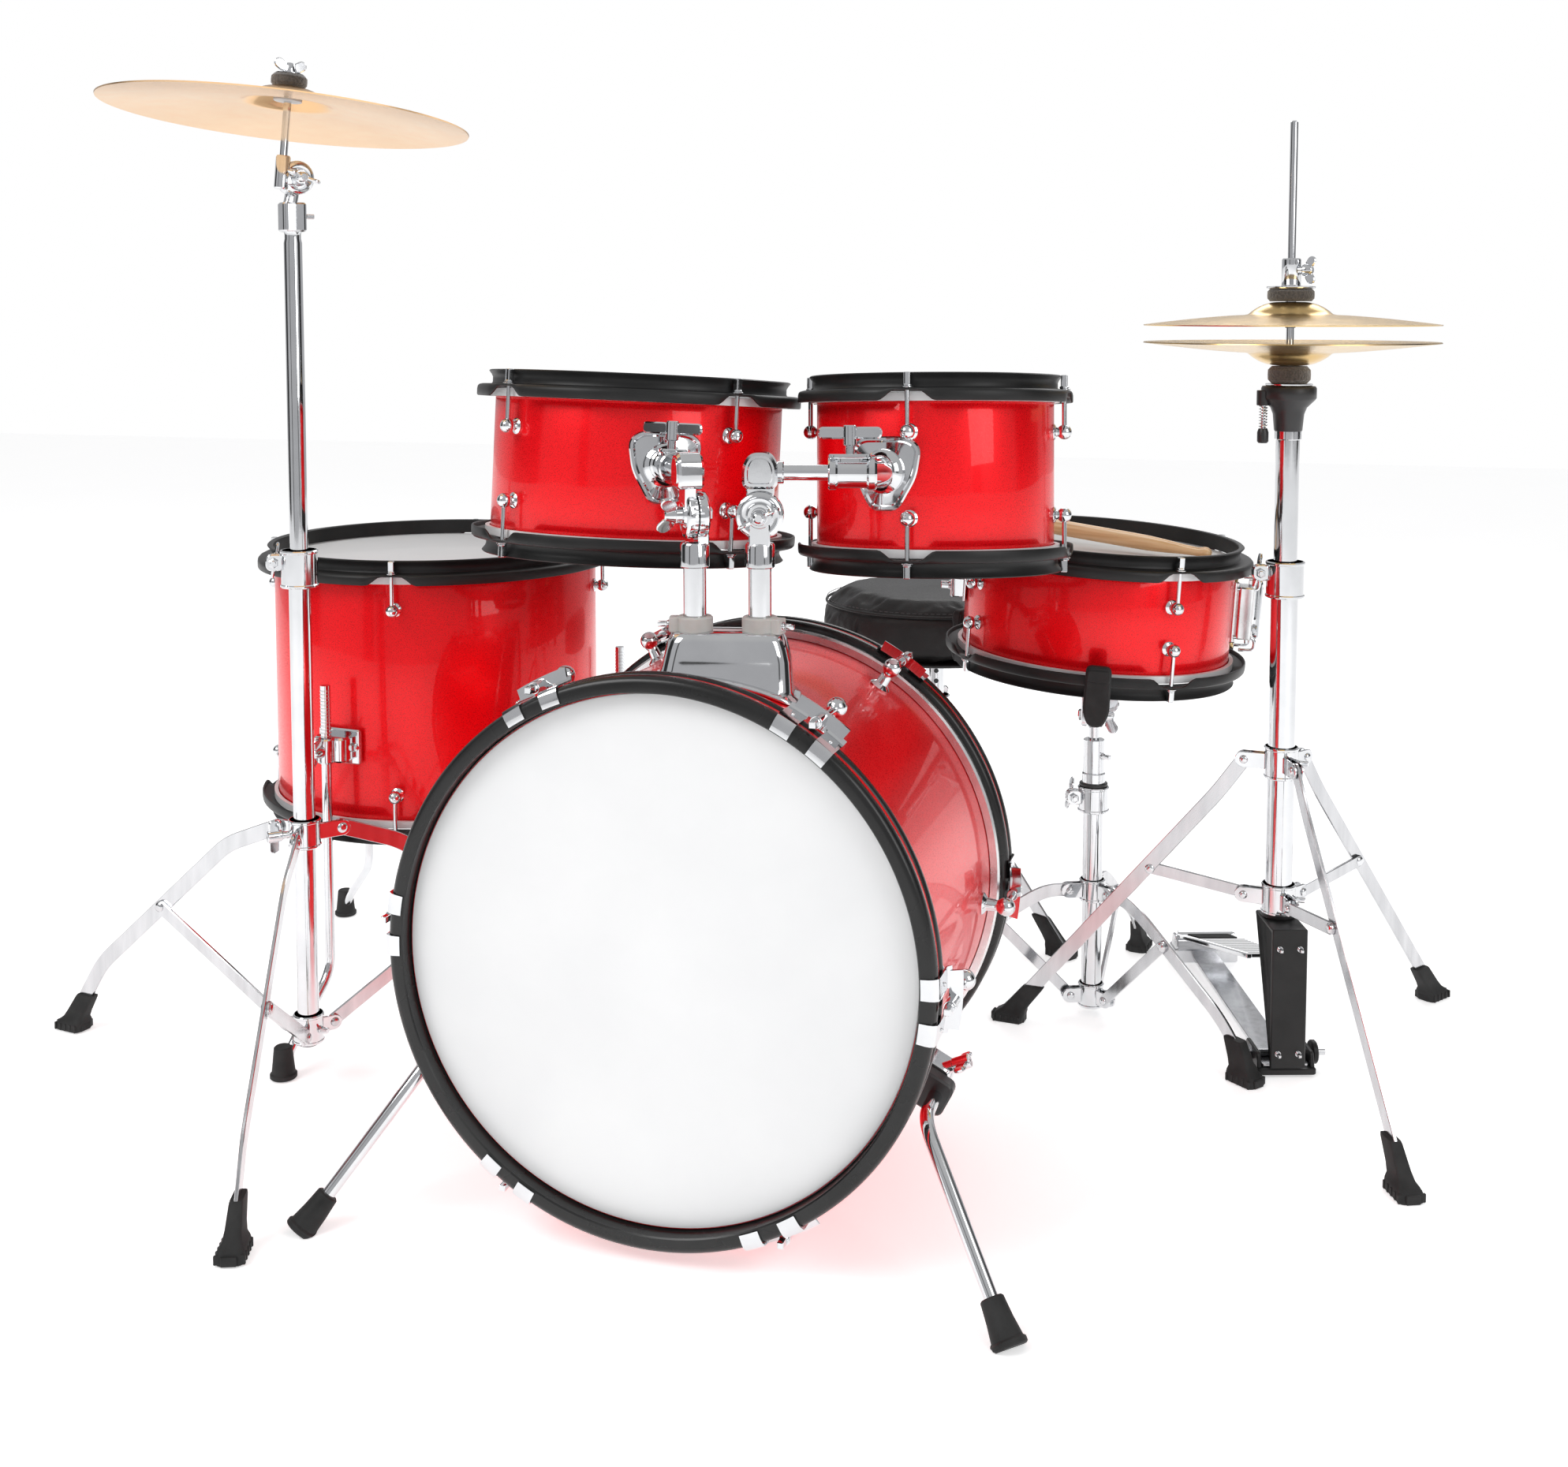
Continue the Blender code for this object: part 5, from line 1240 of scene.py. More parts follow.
def snare_stand():
    pivot_at = pivot("snare_tilt")
    axis = level(pivot_at + Vector((0.0, 0.008, 0.0)), 0.0)
    shape = Shape()
    shape.rod(level(axis, 0.01), level(axis, 0.236), 0.01, 40)
    clamp(shape, axis, 0.015, 0.0095, 0.21, 0.236, -70.0)
    turn = 51.1
    split_collar(shape, axis, 0.0125, 0.0098, 0.118, 0.14, turn, (0.024, 0.129))
    split_collar(shape, axis, 0.0125, 0.0098, 0.008, 0.032, turn, (0.022, 0.02))
    line = [(0.022, 0.129), (0.046, 0.129), (0.068, 0.119), (0.169, 0.052), (0.19, 0.03),
            (0.199, 0.01)]
    tripod("snare_stand", axis, turn, line, (0.099, 0.099), (0.022, 0.02), 0.013, -0.42, shape)
    shape.piece("snare_stand_chrome", CHROME, "kit", "chrome", "snare_stand_base")
    top = Shape()
    top.rod(level(axis, 0.2), level(axis, 0.262), 0.0083, 36)
    sleeve(top, axis, 0.0118, 0.008, 0.2375, 0.25, 0.0)
    top.rod(level(axis, 0.25), level(axis, 0.284), 0.0106, 36)
    key_bolt(top, on_tube(axis, 0.268, 60, 0.01), 0.8, 0.0046)
    top.rod(level(axis, 0.278), pivot_at + Vector((0.0, 0.004, -0.002)), 0.0052, 24)
    across = Vector((1.0, 0.0, 0.0))
    ratchet(top, facing(pivot_at, across, UP), -0.0046, 0.0046, 0.0125)
    top.piece("snare_stand_top", CHROME, "snare_stand_tube", "chrome", "snare_stand_tube")
    band = Shape()
    sleeve(band, axis, 0.0142, 0.01, 0.2362, 0.24)
    band.piece("snare_stand_band", PLASTIC, "kit", "black_plastic")


def snare_basket(place):
    """Flat arms under the drum, rubber-capped uprights, and the cheeks of the tilter."""
    pivot_at = pivot("snare_tilt")
    radius, floor = TOMS["snare"][0], -SNARE_DEPTH / 2
    turn = place.to_3x3()
    rise = turn @ UP
    chrome, rubber = Shape(), Shape()
    chrome.lathe([(0.018, floor - 0.0235), (0.0225, floor - 0.0215), (0.0225, floor - 0.0105),
                  (0.02, floor - 0.0085)], place, 40)
    for degrees in (8, 128, 248):
        outward = turn @ compass(degrees)
        reach = radius + SKIRT_REACH + 0.006
        start = place.translation + rise * (floor - 0.015) + outward * 0.006
        end = place.translation + rise * (floor - 0.015) + outward * (reach + 0.002)
        tip = end + rise * 0.034
        section = rounded_box(0.012, 0.0036, 0.0012, 3)
        chrome.sweep(softened([start, end, tip], 0.01, 8), section, outward.cross(rise))
        cap = facing(end + rise * 0.0225 + outward * 0.0004, outward, outward.cross(rise))
        outline = rounded_polygon([(-0.0115, -0.027), (0.0115, -0.027), (0.012, 0.016),
                                   (0.0065, 0.029), (-0.0065, 0.029), (-0.012, 0.016)], 0.006)
        rubber.slab(outline, 0.0094, cap, 0.0018)
        rubber.slab(rounded_box(0.0215, 0.012, 0.003), 0.012,
                    cap @ Matrix.Translation((0.0, -0.018, 0.0)), 0.0012)
    across = Vector((1.0, 0.0, 0.0))
    for side in (1, -1):
        cheek = facing(pivot_at + across * side * 0.0082, across, Vector((0, 1, 0)))
        outline = rounded_polygon([(-0.0125, -0.01), (0.0065, -0.01), (0.0085, 0.036),
                                   (-0.016, 0.036)], 0.006)
        chrome.slab(outline, 0.0052, cheek, 0.001)
        bolt = facing(pivot_at + across * side * 0.0108, across * side, Vector((0, 0.4, 1)))
        if side > 0:
            butterfly(chrome, bolt, 0.009, 0.036, 0.011)
        else:
            chrome.lathe([(0.0058, 0.0), (0.0058, 0.0032), (0.0046, 0.0044)], bolt, 6)
    chrome.piece("snare_basket_chrome", CHROME, "snare", "chrome", "snare_basket")
    rubber.piece("snare_basket_caps", RUBBER, "snare", "black_rubber")


# ---- cymbals ----------------------------------------------------------------------------
def cymbal(name, material, place, radius, hole, bell_h, bow_h, thick, body, up=1):
    """A bowed disc with a bell; its edge is at place's origin and it opens against up."""
    bell = 0.04
    line = [(hole, bell_h + bow_h), (hole + 0.004, bell_h + bow_h - 0.0001)]
    for i in range(1, 10):
        t = i / 9
        line.append((hole + 0.004 + (bell - 0.002 - hole - 0.004) * t,
                     bow_h + 0.0006 + (bell_h - 0.0007) * (1 - t**2.3)))
    line.append((bell + 0.0015, bow_h - 0.0001))
    for i in range(1, 15):
        t = i / 14
        line.append((bell + 0.0015 + (radius - bell - 0.0015) * t, (bow_h - 0.0001) * (1 - t**1.35)))
    under = [(r, z - thick) for r, z in reversed(line)]
    under[0] = (radius - 0.0004, -thick)
    profile = [(r, up * z) for r, z in line + under]
    shape = Shape().turn(profile, place, 160)
    return shape.piece(name + "_metal", material, body, "cymbal_brass", name, smooth=60, place=place)


def felt_disc(shape, place, radius, low, high, hole=0.003):
    deep = high - low
    shape.turn([(hole, low), (radius - deep * 0.2, low), (radius, low + deep * 0.22),
                (radius + 0.0002, low + deep * 0.5), (radius, high - deep * 0.22),
                (radius - deep * 0.2, high), (hole, high)], place, 48)


def hihat():
    axis = level(pivot("hihat_lower_spin"), 0.0)
    here = standing(axis)
    turn, tube = 23.6, 0.0125
    base = Shape()
    base.rod(level(axis, 0.13), level(axis, 0.47), tube, 48)
    clamp(base, axis, 0.0172, tube - 0.0005, 0.448, 0.482, -80.0)
    split_collar(base, axis, 0.0155, tube - 0.0002, 0.276, 0.306, turn, (0.034, 0.291))
    split_collar(base, axis, 0.0155, tube - 0.0002, 0.146, 0.174, turn, (0.032, 0.16))
    line = [(0.034, 0.291), (0.058, 0.256), (0.259, 0.011)]
    tripod("hihat_stand", axis, turn, line, (0.122, 0.173), (0.032, 0.16), 0.014, -0.8, base)
    base.piece("hihat_stand_chrome", CHROME, "kit", "chrome", "hihat_stand_base")
    upper, cup, felts, knob = Shape(), Shape(), Shape(), Shape()
    upper.rod(level(axis, 0.3), level(axis, 0.612), 0.0107, 44)
    upper.collar(0.012, 0.009, 0.596, 0.606, here, 44)
    upper.turn([(0.006, 0.6462), (0.0208, 0.6462), (0.0212, 0.647), (0.0212, 0.6482),
                (0.006, 0.6482)], here, 48)
    cup.lathe([(0.0122, 0.604), (0.0128, 0.6048), (0.0142, 0.62), (0.0165, 0.626), (0.0236, 0.633),
               (0.025, 0.635), (0.025, 0.644), (0.024, 0.6458)], here, 48)
    felt_disc(felts, here, 0.0192, 0.6484, 0.6645)
    spring_at = level(axis, 0.0) + Vector((-0.0225, -0.008, 0.0))
    cup.rod(level(spring_at, 0.628), level(spring_at, 0.642), 0.0062, 24)
    upper.rod(level(spring_at, 0.596), level(spring_at, 0.632), 0.0019, 16)
    coil = [level(spring_at, 0.0) + polar(0.0034, i * 30.0, 0.607 + 0.0215 * i / 96) for i in range(97)]
    upper.tube(coil, 0.0006, 8)
    knob.lathe([(0.004, 0.593), (0.0052, 0.5945), (0.0052, 0.603), (0.004, 0.6065)],
               standing(spring_at), 20)
    upper.piece("hihat_upper_chrome", CHROME, "hihat_upper", "chrome", "hihat_upper_tube")
    cup.piece("hihat_cup", PLASTIC, "hihat_upper", "black_plastic")
    knob.piece("hihat_tilt_knob", PLASTIC, "hihat_upper", "black_plastic")
    felts.piece("hihat_lower_felt", FELT, "hihat_upper", "felt")
    rod, pads = Shape(), Shape()
    rod.rod(level(axis, 0.122), level(axis, 0.89), 0.0035, 24, ease=0.0012)
    rod.rod(level(axis, 0.7), level(axis, 0.742), 0.0048, 24)
    for i in range(9):
        rod.collar(0.005, 0.003, 0.702 + 0.0012 * i, 0.7026 + 0.0012 * i, here, 20, 0.0002)
    rod.turn([(0.0034, 0.7364), (0.0215, 0.7364), (0.0219, 0.7372), (0.0219, 0.7382), (0.009, 0.7386),
              (0.0084, 0.74), (0.0034, 0.74)], here, 48)
    rod.lathe([(0.0, 0.7392), (0.008, 0.7392), (0.0086, 0.74), (0.0086, 0.7628), (0.0076, 0.764),
               (0.0, 0.764)], here, 40)
    right = compass(68)
    rod.rod(level(axis, 0.753) + right * 0.007, level(axis, 0.753) + right * 0.013, 0.0042, 24)
    butterfly(rod, on_tube(axis, 0.753, 68, 0.012, Vector((0.25, 0, 1))), 0.0075, 0.026, 0.008)
    rod.turn([(0.0034, 0.713), (0.0085, 0.713), (0.0095, 0.7136), (0.0095, 0.7158),
              (0.0034, 0.7158)], here, 6)
    felt_disc(pads, here, 0.021, 0.7245, 0.7362)
    felt_disc(pads, here, 0.0098, 0.716, 0.7222)
    rod.piece("hihat_rod_chrome", CHROME, "hihat_rod", "chrome", "hihat_pull_rod")
    pads.piece("hihat_clutch_felts", FELT, "hihat_rod", "felt")
    for name, height, body, up in (("hihat_top_cymbal", 0.703, "hihat_rod", 1),
                                   ("hihat_bottom_cymbal", 0.686, "hihat_bottom", -1)):
        cymbal(name, GOLD, Matrix.Translation(level(axis, height)), 0.1335, 0.0055, 0.012, 0.009,
               0.001, body, up)
    pedal(axis)


def pedal(axis):
    """The black bow under the tube, its base bracket, the strut, and the ribbed footboard."""
    heel_axis = pivot("hihat_pedal")
    out = (level(heel_axis, 0.0) - axis).normalized()
    side = out.cross(UP)
    black, chrome = Shape(), Shape()

    def spot(x, y, z):
        return axis + side * x + out * y + UP * z

    bow = rounded_polygon([(-0.04, 0.01), (-0.0365, 0.01), (-0.0365, 0.1385), (0.017, 0.1385),
                           (0.017, 0.1425), (-0.04, 0.1425)], 0.0012)
    black.slab(bow, 0.033, axes(axis, out, UP, side), 0.001)
    black.collar(0.0158, 0.012, 0.1424, 0.147, Matrix.Translation(axis), 40)
    black.box((0.056, 0.048, 0.006), axes(spot(0, -0.0145, 0.0056), side, out, UP), 0.003, 0.001)
    for sign in (1, -1):
        ear = [(-0.036, 0.006), (0.008, 0.006), (0.004, 0.0225), (-0.032, 0.0225)]
        ear_at = axes(spot(sign * 0.025, 0, 0), out, UP, side)
        black.slab(rounded_polygon(ear, 0.004), 0.004, ear_at, 0.0008)
    black.lathe([(0.0, 0.0), (0.01, 0.0), (0.011, 0.0012), (0.011, 0.0044), (0.0098, 0.0056),
                 (0.0, 0.0058)], facing(spot(0.029, -0.014, 0.015), side), 32)
    chrome.box((0.044, 0.04, 0.003), axes(spot(0, -0.0135, 0.0102), side, out, UP), 0.002)
    chrome.rod(spot(-0.037, -0.014, 0.015), spot(0.043, -0.014, 0.015), 0.0032, 20)
    nut = facing(spot(-0.0272, -0.014, 0.015), -side)
    chrome.lathe([(0.0, 0.0), (0.0072, 0.0), (0.0072, 0.0056), (0.006, 0.0066), (0.0, 0.0068)], nut, 6)
    for sign in (1, -1):
        for height in (0.124, 0.024):
            key_bolt(chrome, facing(spot(sign * 0.0095, -0.04, height), -out), 0.55, 0.0052)
    length = (level(heel_axis, 0.0) - axis).length
    strut = spot(0, (length + 0.01) / 2, 0.0052)
    chrome.box((0.029, length + 0.006, 0.0042), axes(strut, side, out, UP), 0.0012)
    chrome.box((0.07, 0.028, 0.015), axes(spot(0, length + 0.004, 0.008), side, out, UP), 0.003, 0.0012)
    cheek = rounded_polygon([(-0.01, 0.0), (0.012, 0.0), (0.0075, 0.015), (-0.0075, 0.015)], 0.004)
    for sign in (1, -1):
        cheek_at = axes(spot(sign * 0.0325, length, 0.015), out, UP, side)
        chrome.slab(cheek, 0.003, cheek_at, 0.0006)
    strap = Shape()
    hang = ((0.0045, 0.129), (0.0085, 0.12), (0.016, 0.109), (0.024, 0.099))
    strap.sweep([spot(0, y, z) for y, z in hang], rounded_box(0.015, 0.0022, 0.0008), side)
    strap.piece("hihat_pull_strap", RUBBER, "hihat_footboard", "black_rubber")
    black.piece("hihat_pedal_frame", POWDER, "kit", "black_steel")
    chrome.piece("hihat_pedal_strut", BAR, "kit", "chrome")
    toe = spot(0, 0.03, 0.092)
    along = (toe - heel_axis).normalized()
    board, pad = Shape(), Shape()
    normal = side.cross(along)
    normal = normal if normal.z > 0 else -normal
    centre = (heel_axis + toe) / 2
    reach = (toe - heel_axis).length
    frame_at = axes(centre, along, normal.cross(along), normal)
    half_toe, half_heel = 0.021, 0.032
    start, stop = -reach / 2 + 0.004, reach / 2

    def half_at(x):
        return half_heel + (half_toe - half_heel) * (x - start) / (stop - start)

    for sign in (1, -1):
        rail = [(start, sign * half_heel), (stop, sign * half_toe), (stop, sign * (half_toe - 0.006)),
                (start, sign * (half_heel - 0.006))]
        board.slab(rounded_polygon(rail, 0.0015), 0.0048, frame_at, 0.001)
    for i in range(13):
        x = start + 0.07 + (stop - start - 0.074) * i / 12
        place = frame_at @ Matrix.Translation((x, 0.0, 0.0003))
        board.box((0.0062, 2 * half_at(x) - 0.004, 0.004), place, 0.0014, 0.0008)
    solid = [(start, -half_heel + 0.003), (start + 0.066, -half_at(start + 0.066) + 0.003),
             (start + 0.066, half_at(start + 0.066) - 0.003), (start, half_heel - 0.003)]
    board.slab(rounded_polygon(solid, 0.003), 0.0036, frame_at, 0.0006)
    spine = frame_at @ Matrix.Translation(((start + stop) / 2 + 0.02, 0.0, -0.0002))
    board.box((stop - start - 0.044, 0.008, 0.0034), spine, 0.0012, 0.0008)
    board.rod(heel_axis - side * 0.03, heel_axis + side * 0.03, 0.0052, 24)
    for i in range(6):
        spot_x = start + 0.012 + 0.008 * i
        pad.box((0.0034, 2 * half_at(spot_x) - 0.018, 0.0014),
                frame_at @ Matrix.Translation((spot_x, 0.0, 0.0022)), 0.0008, 0.0004)
    board.piece("hihat_footboard_plate", CHROME, "hihat_footboard", "chrome", "hihat_footboard")
    pad.piece("hihat_footboard_grips", RUBBER, "hihat_footboard", "black_rubber")


def crash():
    corners = [pivot(f"crash_leg_{letter}_fold") for letter in "abc"]
    axis = level(sum(corners, Vector()) / 3, 0.0)
    here = standing(axis)
    turns = {}
    for letter, corner in zip("abc", corners):
        out = corner - axis
        turns[letter] = math.degrees(math.atan2(out.x, -out.y))
    tube = 0.0098
    lower = Shape()
    lower.rod(level(axis, 0.045), level(axis, 0.49), tube, 44)
    clamp(lower, axis, 0.0162, tube - 0.0004, 0.466, 0.5, -62.0)
    sleeve(lower, axis, 0.0135, tube - 0.0004, 0.0425, 0.0693, 0.0006)
    for degrees in turns.values():
        bar(lower, axis, degrees, [(0.012, 0.055), (0.0245, 0.055)], 0.014)
    key_bolt(lower, on_tube(axis, 0.056, 80, 0.013), 0.8, 0.0046)
    lower.piece("crash_lower_chrome", CHROME, "kit", "chrome", "crash_lower_tube")
    cap = Shape()
    cap.lathe([(0.0, 0.0395), (0.008, 0.0395), (0.0096, 0.0405), (0.0096, 0.0426), (0.0, 0.0428)], here, 32)
    cap.piece("crash_tube_plug", PLASTIC, "kit", "black_plastic")
    collar = Shape()
    sleeve(collar, axis, 0.0142, tube + GAP, 0.226, 0.252, 0.0006)
    for degrees in turns.values():
        bar(collar, axis, degrees, [(0.014, 0.239), (0.0345, 0.239)], 0.015, 0.0034)
        rivet(collar, axis, degrees, (0.034, 0.239), -PLATE / 2, 0.005)
    spot = compass(-45)
    collar.rod(level(axis, 0.239) + spot * 0.013, level(axis, 0.239) + spot * 0.027, 0.003, 20)
    t_handle(collar, on_tube(axis, 0.239, -45, 0.018, UP), 0.004, 0.03)
    collar.piece("crash_collar_chrome", CHROME, "crash_collar", "chrome", "crash_leg_collar")
    for letter, degrees in turns.items():
        leg, feet, brace = Shape(), Shape(), Shape()
        line = [(0.0335, 0.2395), (0.093, 0.216), (0.177, 0.144), (0.26, 0.073), (0.299, 0.012)]
        bar(leg, axis, degrees, line, 0.0148)
        rivet(leg, axis, degrees, (0.177, 0.144), -0.0052, PLATE / 2)
        boot(feet, axis, degrees, 0.301, -0.64, HOVER)
        bar(brace, axis, degrees, [(0.0245, 0.0555), (0.1765, 0.1435)], 0.0126, -0.0034)
        rivet(brace, axis, degrees, (0.0245, 0.0555), -0.005, PLATE / 2, 0.0042)
        name = "crash_leg_" + letter
        leg.piece(name + "_bar", BAR, name, "chrome", name)
        feet.piece(name + "_boot", RUBBER, name, "black_rubber")
        name = "crash_brace_" + letter
        brace.piece(name + "_bar", BAR, name, "chrome", name)
    upper = Shape()
    centre = pivot("crash_tilt")
    back = Vector(JOINTS["crash_tilt"]["axis"]).normalized()
    along = back.cross(UP)
    upper.lathe([(0.0, 0.41), (0.0074, 0.41), (0.008, 0.4106), (0.008, 0.776), (0.0072, 0.78),
                 (0.0072, 0.784), (0.0078, 0.786), (0.0, 0.7864)], here, 44)
    block = facing(level(axis, 0.799), UP, along)
    upper.slab(rounded_box(0.0215, 0.019, 0.004), 0.026, block, 0.0016)
    key_bolt(upper, facing(level(axis, 0.8) + along * 0.0105, along), 0.75, 0.0042)
    arm = softened([level(axis, 0.806) + back * 0.0085, centre + back * 0.0064 - UP * 0.014,
                    centre + back * 0.0064 - UP * 0.002], 0.006, 5)
    upper.sweep(arm, rounded_box(0.011, 0.01, 0.003), along)
    ratchet(upper, facing(centre, back, UP), 0.0004, 0.0118, 0.015)
    upper.lathe([(0.0058, 0.0), (0.0058, 0.0034), (0.0046, 0.0046)], facing(centre + back * 0.011, back), 6)
    upper.piece("crash_upper_chrome", CHROME, "crash_upper", "chrome", "crash_upper_tube")
    lean = Vector(JOINTS["crash_spin"]["axis"]).normalized()
    rod_at = facing(pivot("crash_spin"), lean, along)
    tilt = Shape()
    ratchet(tilt, facing(centre, back, UP), -0.0004, -0.0118, 0.015)
    wing = facing(centre - back * 0.0112, -back, along - UP * 0.35)
    tilt.rod(wing.translation, wing @ Vector((0, 0, 0.005)), 0.006, 28)
    butterfly(tilt, wing @ Matrix.Translation((0, 0, 0.003)), 0.008, 0.032, 0.0095)
    web = (centre - back * 0.0062 + rod_at.translation) / 2
    tilt.box((0.012, 0.009, 0.015), axes(web, along, back, UP), 0.002, 0.001)
    tilt.lathe([(0.0, -0.012), (0.0052, -0.012), (0.0062, -0.0108), (0.0064, 0.016), (0.0056, 0.0176),
                (0.0, 0.018)], rod_at, 32)
    tilt.lathe([(0.0034, 0.006), (0.0034, 0.097), (0.0024, 0.098)], rod_at, 24)
    for i in range(5):
        low = 0.0905 + 0.0014 * i
        tilt.collar(0.0036, 0.002, low, low + 0.0007, rod_at, 18, 0.0002)
    butterfly(tilt, rod_at @ Matrix.Translation((0, 0, 0.0902)), 0.0085, 0.03, 0.009)
    tilt.turn([(0.0034, 0.0893), (0.0118, 0.0893), (0.0122, 0.0898), (0.0122, 0.0903),
               (0.0034, 0.0905)], rod_at, 36)
    tilt.piece("crash_tilter_chrome", CHROME, "crash_tilter", "chrome", "crash_tilter")
    pads, washer = Shape(), Shape()
    felt_disc(pads, rod_at, 0.0155, 0.0785, 0.0892)
    washer.turn([(0.0036, 0.0655), (0.0118, 0.0655), (0.0124, 0.0661), (0.0124, 0.0748),
                 (0.0036, 0.075)], rod_at, 40)
    pads.piece("crash_felt", FELT, "crash_tilter", "felt")
    washer.piece("crash_seat_washer", NYLON, "crash_tilter", "grey_nylon")
    cymbal("crash_cymbal", COPPER, rod_at @ Matrix.Translation((0, 0, 0.052)), 0.16, 0.0065,
           0.014, 0.012, 0.0012, "crash_cymbal")


# ---- throne -----------------------------------------------------------------------------
CUSHION_VOXEL, CUSHION_SWELL = 0.005, 0.007
CLOTH_FRAMES, CLOTH_PRESSURE, CLOTH_QUALITY = 20, 4.0, 6


def throne():
    axis = level(pivot("throne_spin"), 0.0)
    here = standing(axis)
    turn, tube = 56.5, 0.0125
    base = Shape()
    base.rod(level(axis, 0.03), level(axis, 0.25), tube, 44)
    clamp(base, axis, 0.0172, tube - 0.0005, 0.232, 0.262, 200.0)
    split_collar(base, axis, 0.015, tube - 0.0002, 0.16, 0.184, turn, (0.034, 0.172))
    split_collar(base, axis, 0.015, tube - 0.0002, 0.03, 0.054, turn, (0.03, 0.042))
    line = [(0.034, 0.172), (0.198, 0.011)]
    tripod("throne", axis, turn, line, (0.11, 0.106), (0.03, 0.042), 0.015, -1.0, base)
    base.piece("throne_base_chrome", CHROME, "kit", "chrome", "throne_base")
    post, painted_hole_shade = Shape(), Shape()
    post.rod(level(axis, 0.15), level(axis, 0.3125), 0.0107, 40)
    post.lathe([(0.012, 0.295), (0.015, 0.3), (0.0165, 0.308), (0.039, 0.3095), (0.04, 0.3104),
                (0.04, 0.318), (0.0392, 0.3186)], here, 48)
    outward = compass(20)
    # Black discs in the post's height holes: painted shade standing for the dark insides of the holes.
    for i in range(3):
        hole = level(axis, 0.268 + 0.012 * i)
        painted_hole_shade.rod(hole + outward * 0.0098, hole + outward * 0.0109, 0.0028, 20, ease=0.0001)
    post.piece("throne_post_chrome", CHROME, "throne_post", "chrome", "throne_post")
    painted_hole_shade.piece("throne_post_painted_hole_shade", PLASTIC, "throne_post", "black_plastic")
    throne_seat(axis)


def throne_seat(axis):
    """A foam pad blown up inside its vinyl cover, with a welt and stitches round its top edge."""
    radius, low, top = 0.14, 0.319, 0.391
    pad = Shape().lathe([(0.0, 0.004), (0.128, 0.004), (0.134, 0.012), (0.135, 0.046), (0.13, 0.058),
                         (0.118, 0.0655), (0.0, 0.067)], HERE, 64)
    data = bpy.data.meshes.new("throne_cushion")
    bmesh.ops.recalc_face_normals(pad.mesh, faces=pad.mesh.faces)
    pad.mesh.to_mesh(data)
    pad.mesh.free()
    cushion = bpy.data.objects.new("throne_cushion", data)
    cushion.location = level(axis, low)
    bpy.context.scene.collection.objects.link(cushion)
    bpy.context.view_layer.update()
    inflate(cushion, CUSHION_VOXEL, CUSHION_SWELL)
    mesh = cushion.data
    for vertex in mesh.vertices:
        spot = vertex.co
        spot.z = min(max(spot.z, 0.0012), top - low + 0.002)
        out = math.hypot(spot.x, spot.y)
        pinch = math.exp(-((spot.z - 0.056) / 0.0032) ** 2) * 0.0016
        if out > 0.11:
            scale = min(radius, out - pinch) / out
            spot.x, spot.y = spot.x * scale, spot.y * scale
    mesh.materials.clear()
    mesh.materials.append(VINYL)
    mesh.shade_smooth()
    smooth = cushion.modifiers.new("smooth", "SUBSURF")
    smooth.levels = smooth.render_levels = 1
    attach(cushion, "throne_seat")
    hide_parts("throne_seat")
    edge = max(math.hypot(v.co.x, v.co.y) for v in mesh.vertices if abs(v.co.z - 0.056) < 0.003)
    here = Matrix.Translation(level(axis, low))
    welt, stitches, rim = Shape(), Shape(), Shape()
    circle_at = [here @ polar(edge + 0.0003, 2.5 * i, 0.056) for i in range(144)]
    welt.tube(circle_at, 0.0016, 10, closed=True)
    for i in range(120):
        a = here @ polar(edge - 0.0004, 3.0 * i, 0.0602)
        b = here @ polar(edge - 0.0004, 3.0 * i + 1.9, 0.0602)
        stitches.rod(a, b, 0.00045, 6, ease=0.0001)
    rim.turn([(0.1, 0.0), (0.131, 0.0), (0.1335, 0.001), (0.1335, 0.003), (0.1, 0.003)], here, 96)
    welt.piece("throne_welt", VINYL, "throne_seat", "seat_vinyl")
    stitches.piece("throne_stitches", THREAD, "throne_seat", "seat_vinyl")
    rim.piece("throne_underside", PLASTIC, "throne_seat", "black_plastic")


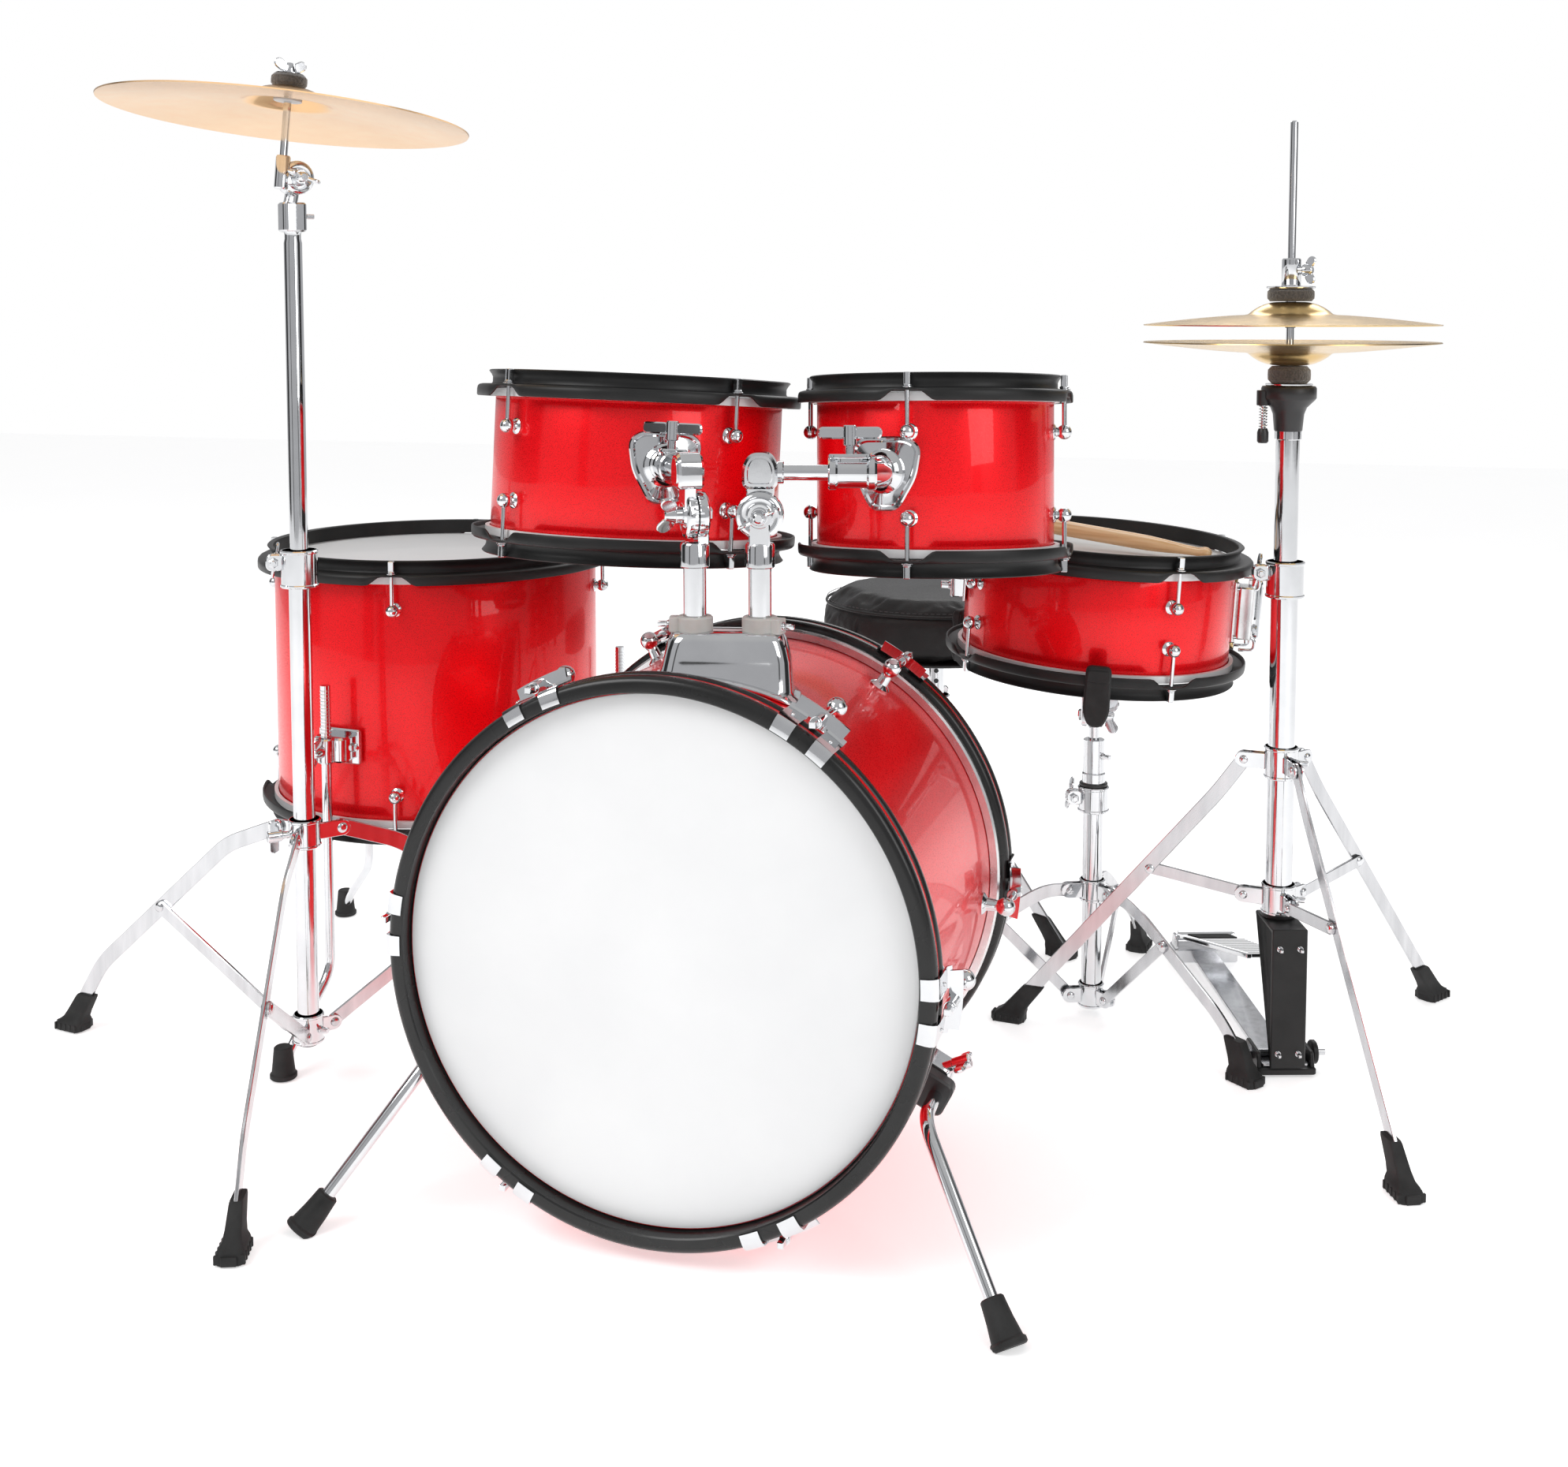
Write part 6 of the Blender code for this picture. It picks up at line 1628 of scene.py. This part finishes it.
def inflate(obj, voxel, cap):
    """Remeshes obj and blows it up as cloth, moving no point further than cap."""
    remesh = obj.modifiers.new("remesh", "REMESH")
    remesh.mode = "VOXEL"
    remesh.voxel_size = voxel
    apply_modifiers(obj)
    start = [v.co.copy() for v in obj.data.vertices]
    cloth = obj.modifiers.new("cloth", "CLOTH")
    cloth.settings.use_pressure = True
    cloth.settings.uniform_pressure_force = CLOTH_PRESSURE
    cloth.settings.effector_weights.gravity = 0.0
    cloth.settings.quality = CLOTH_QUALITY
    scene = bpy.context.scene
    for number in range(1, CLOTH_FRAMES + 1):
        scene.frame_set(number)
    apply_modifiers(obj)
    scene.frame_set(1)
    for vertex, place in zip(obj.data.vertices, start):
        move = vertex.co - place
        if move.length > cap:
            vertex.co = place + move.normalized() * cap


def apply_modifiers(obj):
    graph = bpy.context.evaluated_depsgraph_get()
    mesh = bpy.data.meshes.new_from_object(obj.evaluated_get(graph))
    obj.modifiers.clear()
    obj.data = mesh


# ---- bench ------------------------------------------------------------------------------
add_camera()
add_world()
for light in LIGHTS:
    area_light(*light)

LACQUER = sparkle_lacquer()
CHROME = chrome_plate()
BAR = plated_bar()
POWDER = powder_black()
HOOP_PAINT = hoop_black()
FILM = head_film()
GOLD = lathed_bronze("hat_bronze", (0.66, 0.46, 0.2), (0.56, 0.37, 0.14), 5200.0)
COPPER = lathed_bronze("crash_bronze", (0.84, 0.57, 0.33), (0.72, 0.46, 0.24), 4200.0)
WOOD = maple()
VINYL = grained_vinyl()
RUBBER = black_rubber()
FELT = pressed_felt()
SILVER = plain_finish("satin_alloy", (0.78, 0.785, 0.79), 0.26, 1.0)
NYLON = plain_finish("grey_nylon", (0.52, 0.5, 0.475), 0.42, 0.0, 300.0, Subsurface_Weight=0.15,
                     Subsurface_Scale=0.002)
PLASTIC = plain_finish("black_plastic", (0.02, 0.02, 0.021), 0.36)
BRASS = plain_finish("bolt_brass", (0.7, 0.52, 0.26), 0.3, 1.0)
THREAD = plain_finish("black_thread", (0.05, 0.05, 0.052), 0.6)
add_floor(floor_white())

bass = bass_drum()
drums = {}
for prefix, body in (("left_tom", "left_tom"), ("right_tom", "right_tom"), ("floor_tom", "kit"),
                     ("snare", "snare")):
    drums[prefix] = steel_drum(prefix, body)
tom_mount(bass)
rack_holder("left_tom", 0.072, -1, Vector((1, 0, 0)))
rack_holder("right_tom", 0.085, 1, Vector((1, 0, 0)))
spur(1, "spur_right", bass)
spur(-1, "spur_left", bass)
floor_tom_legs(drums["floor_tom"])
snare_fittings(drums["snare"])
drumsticks()
snare_stand()
snare_basket(drums["snare"])
hihat()
crash()
throne()
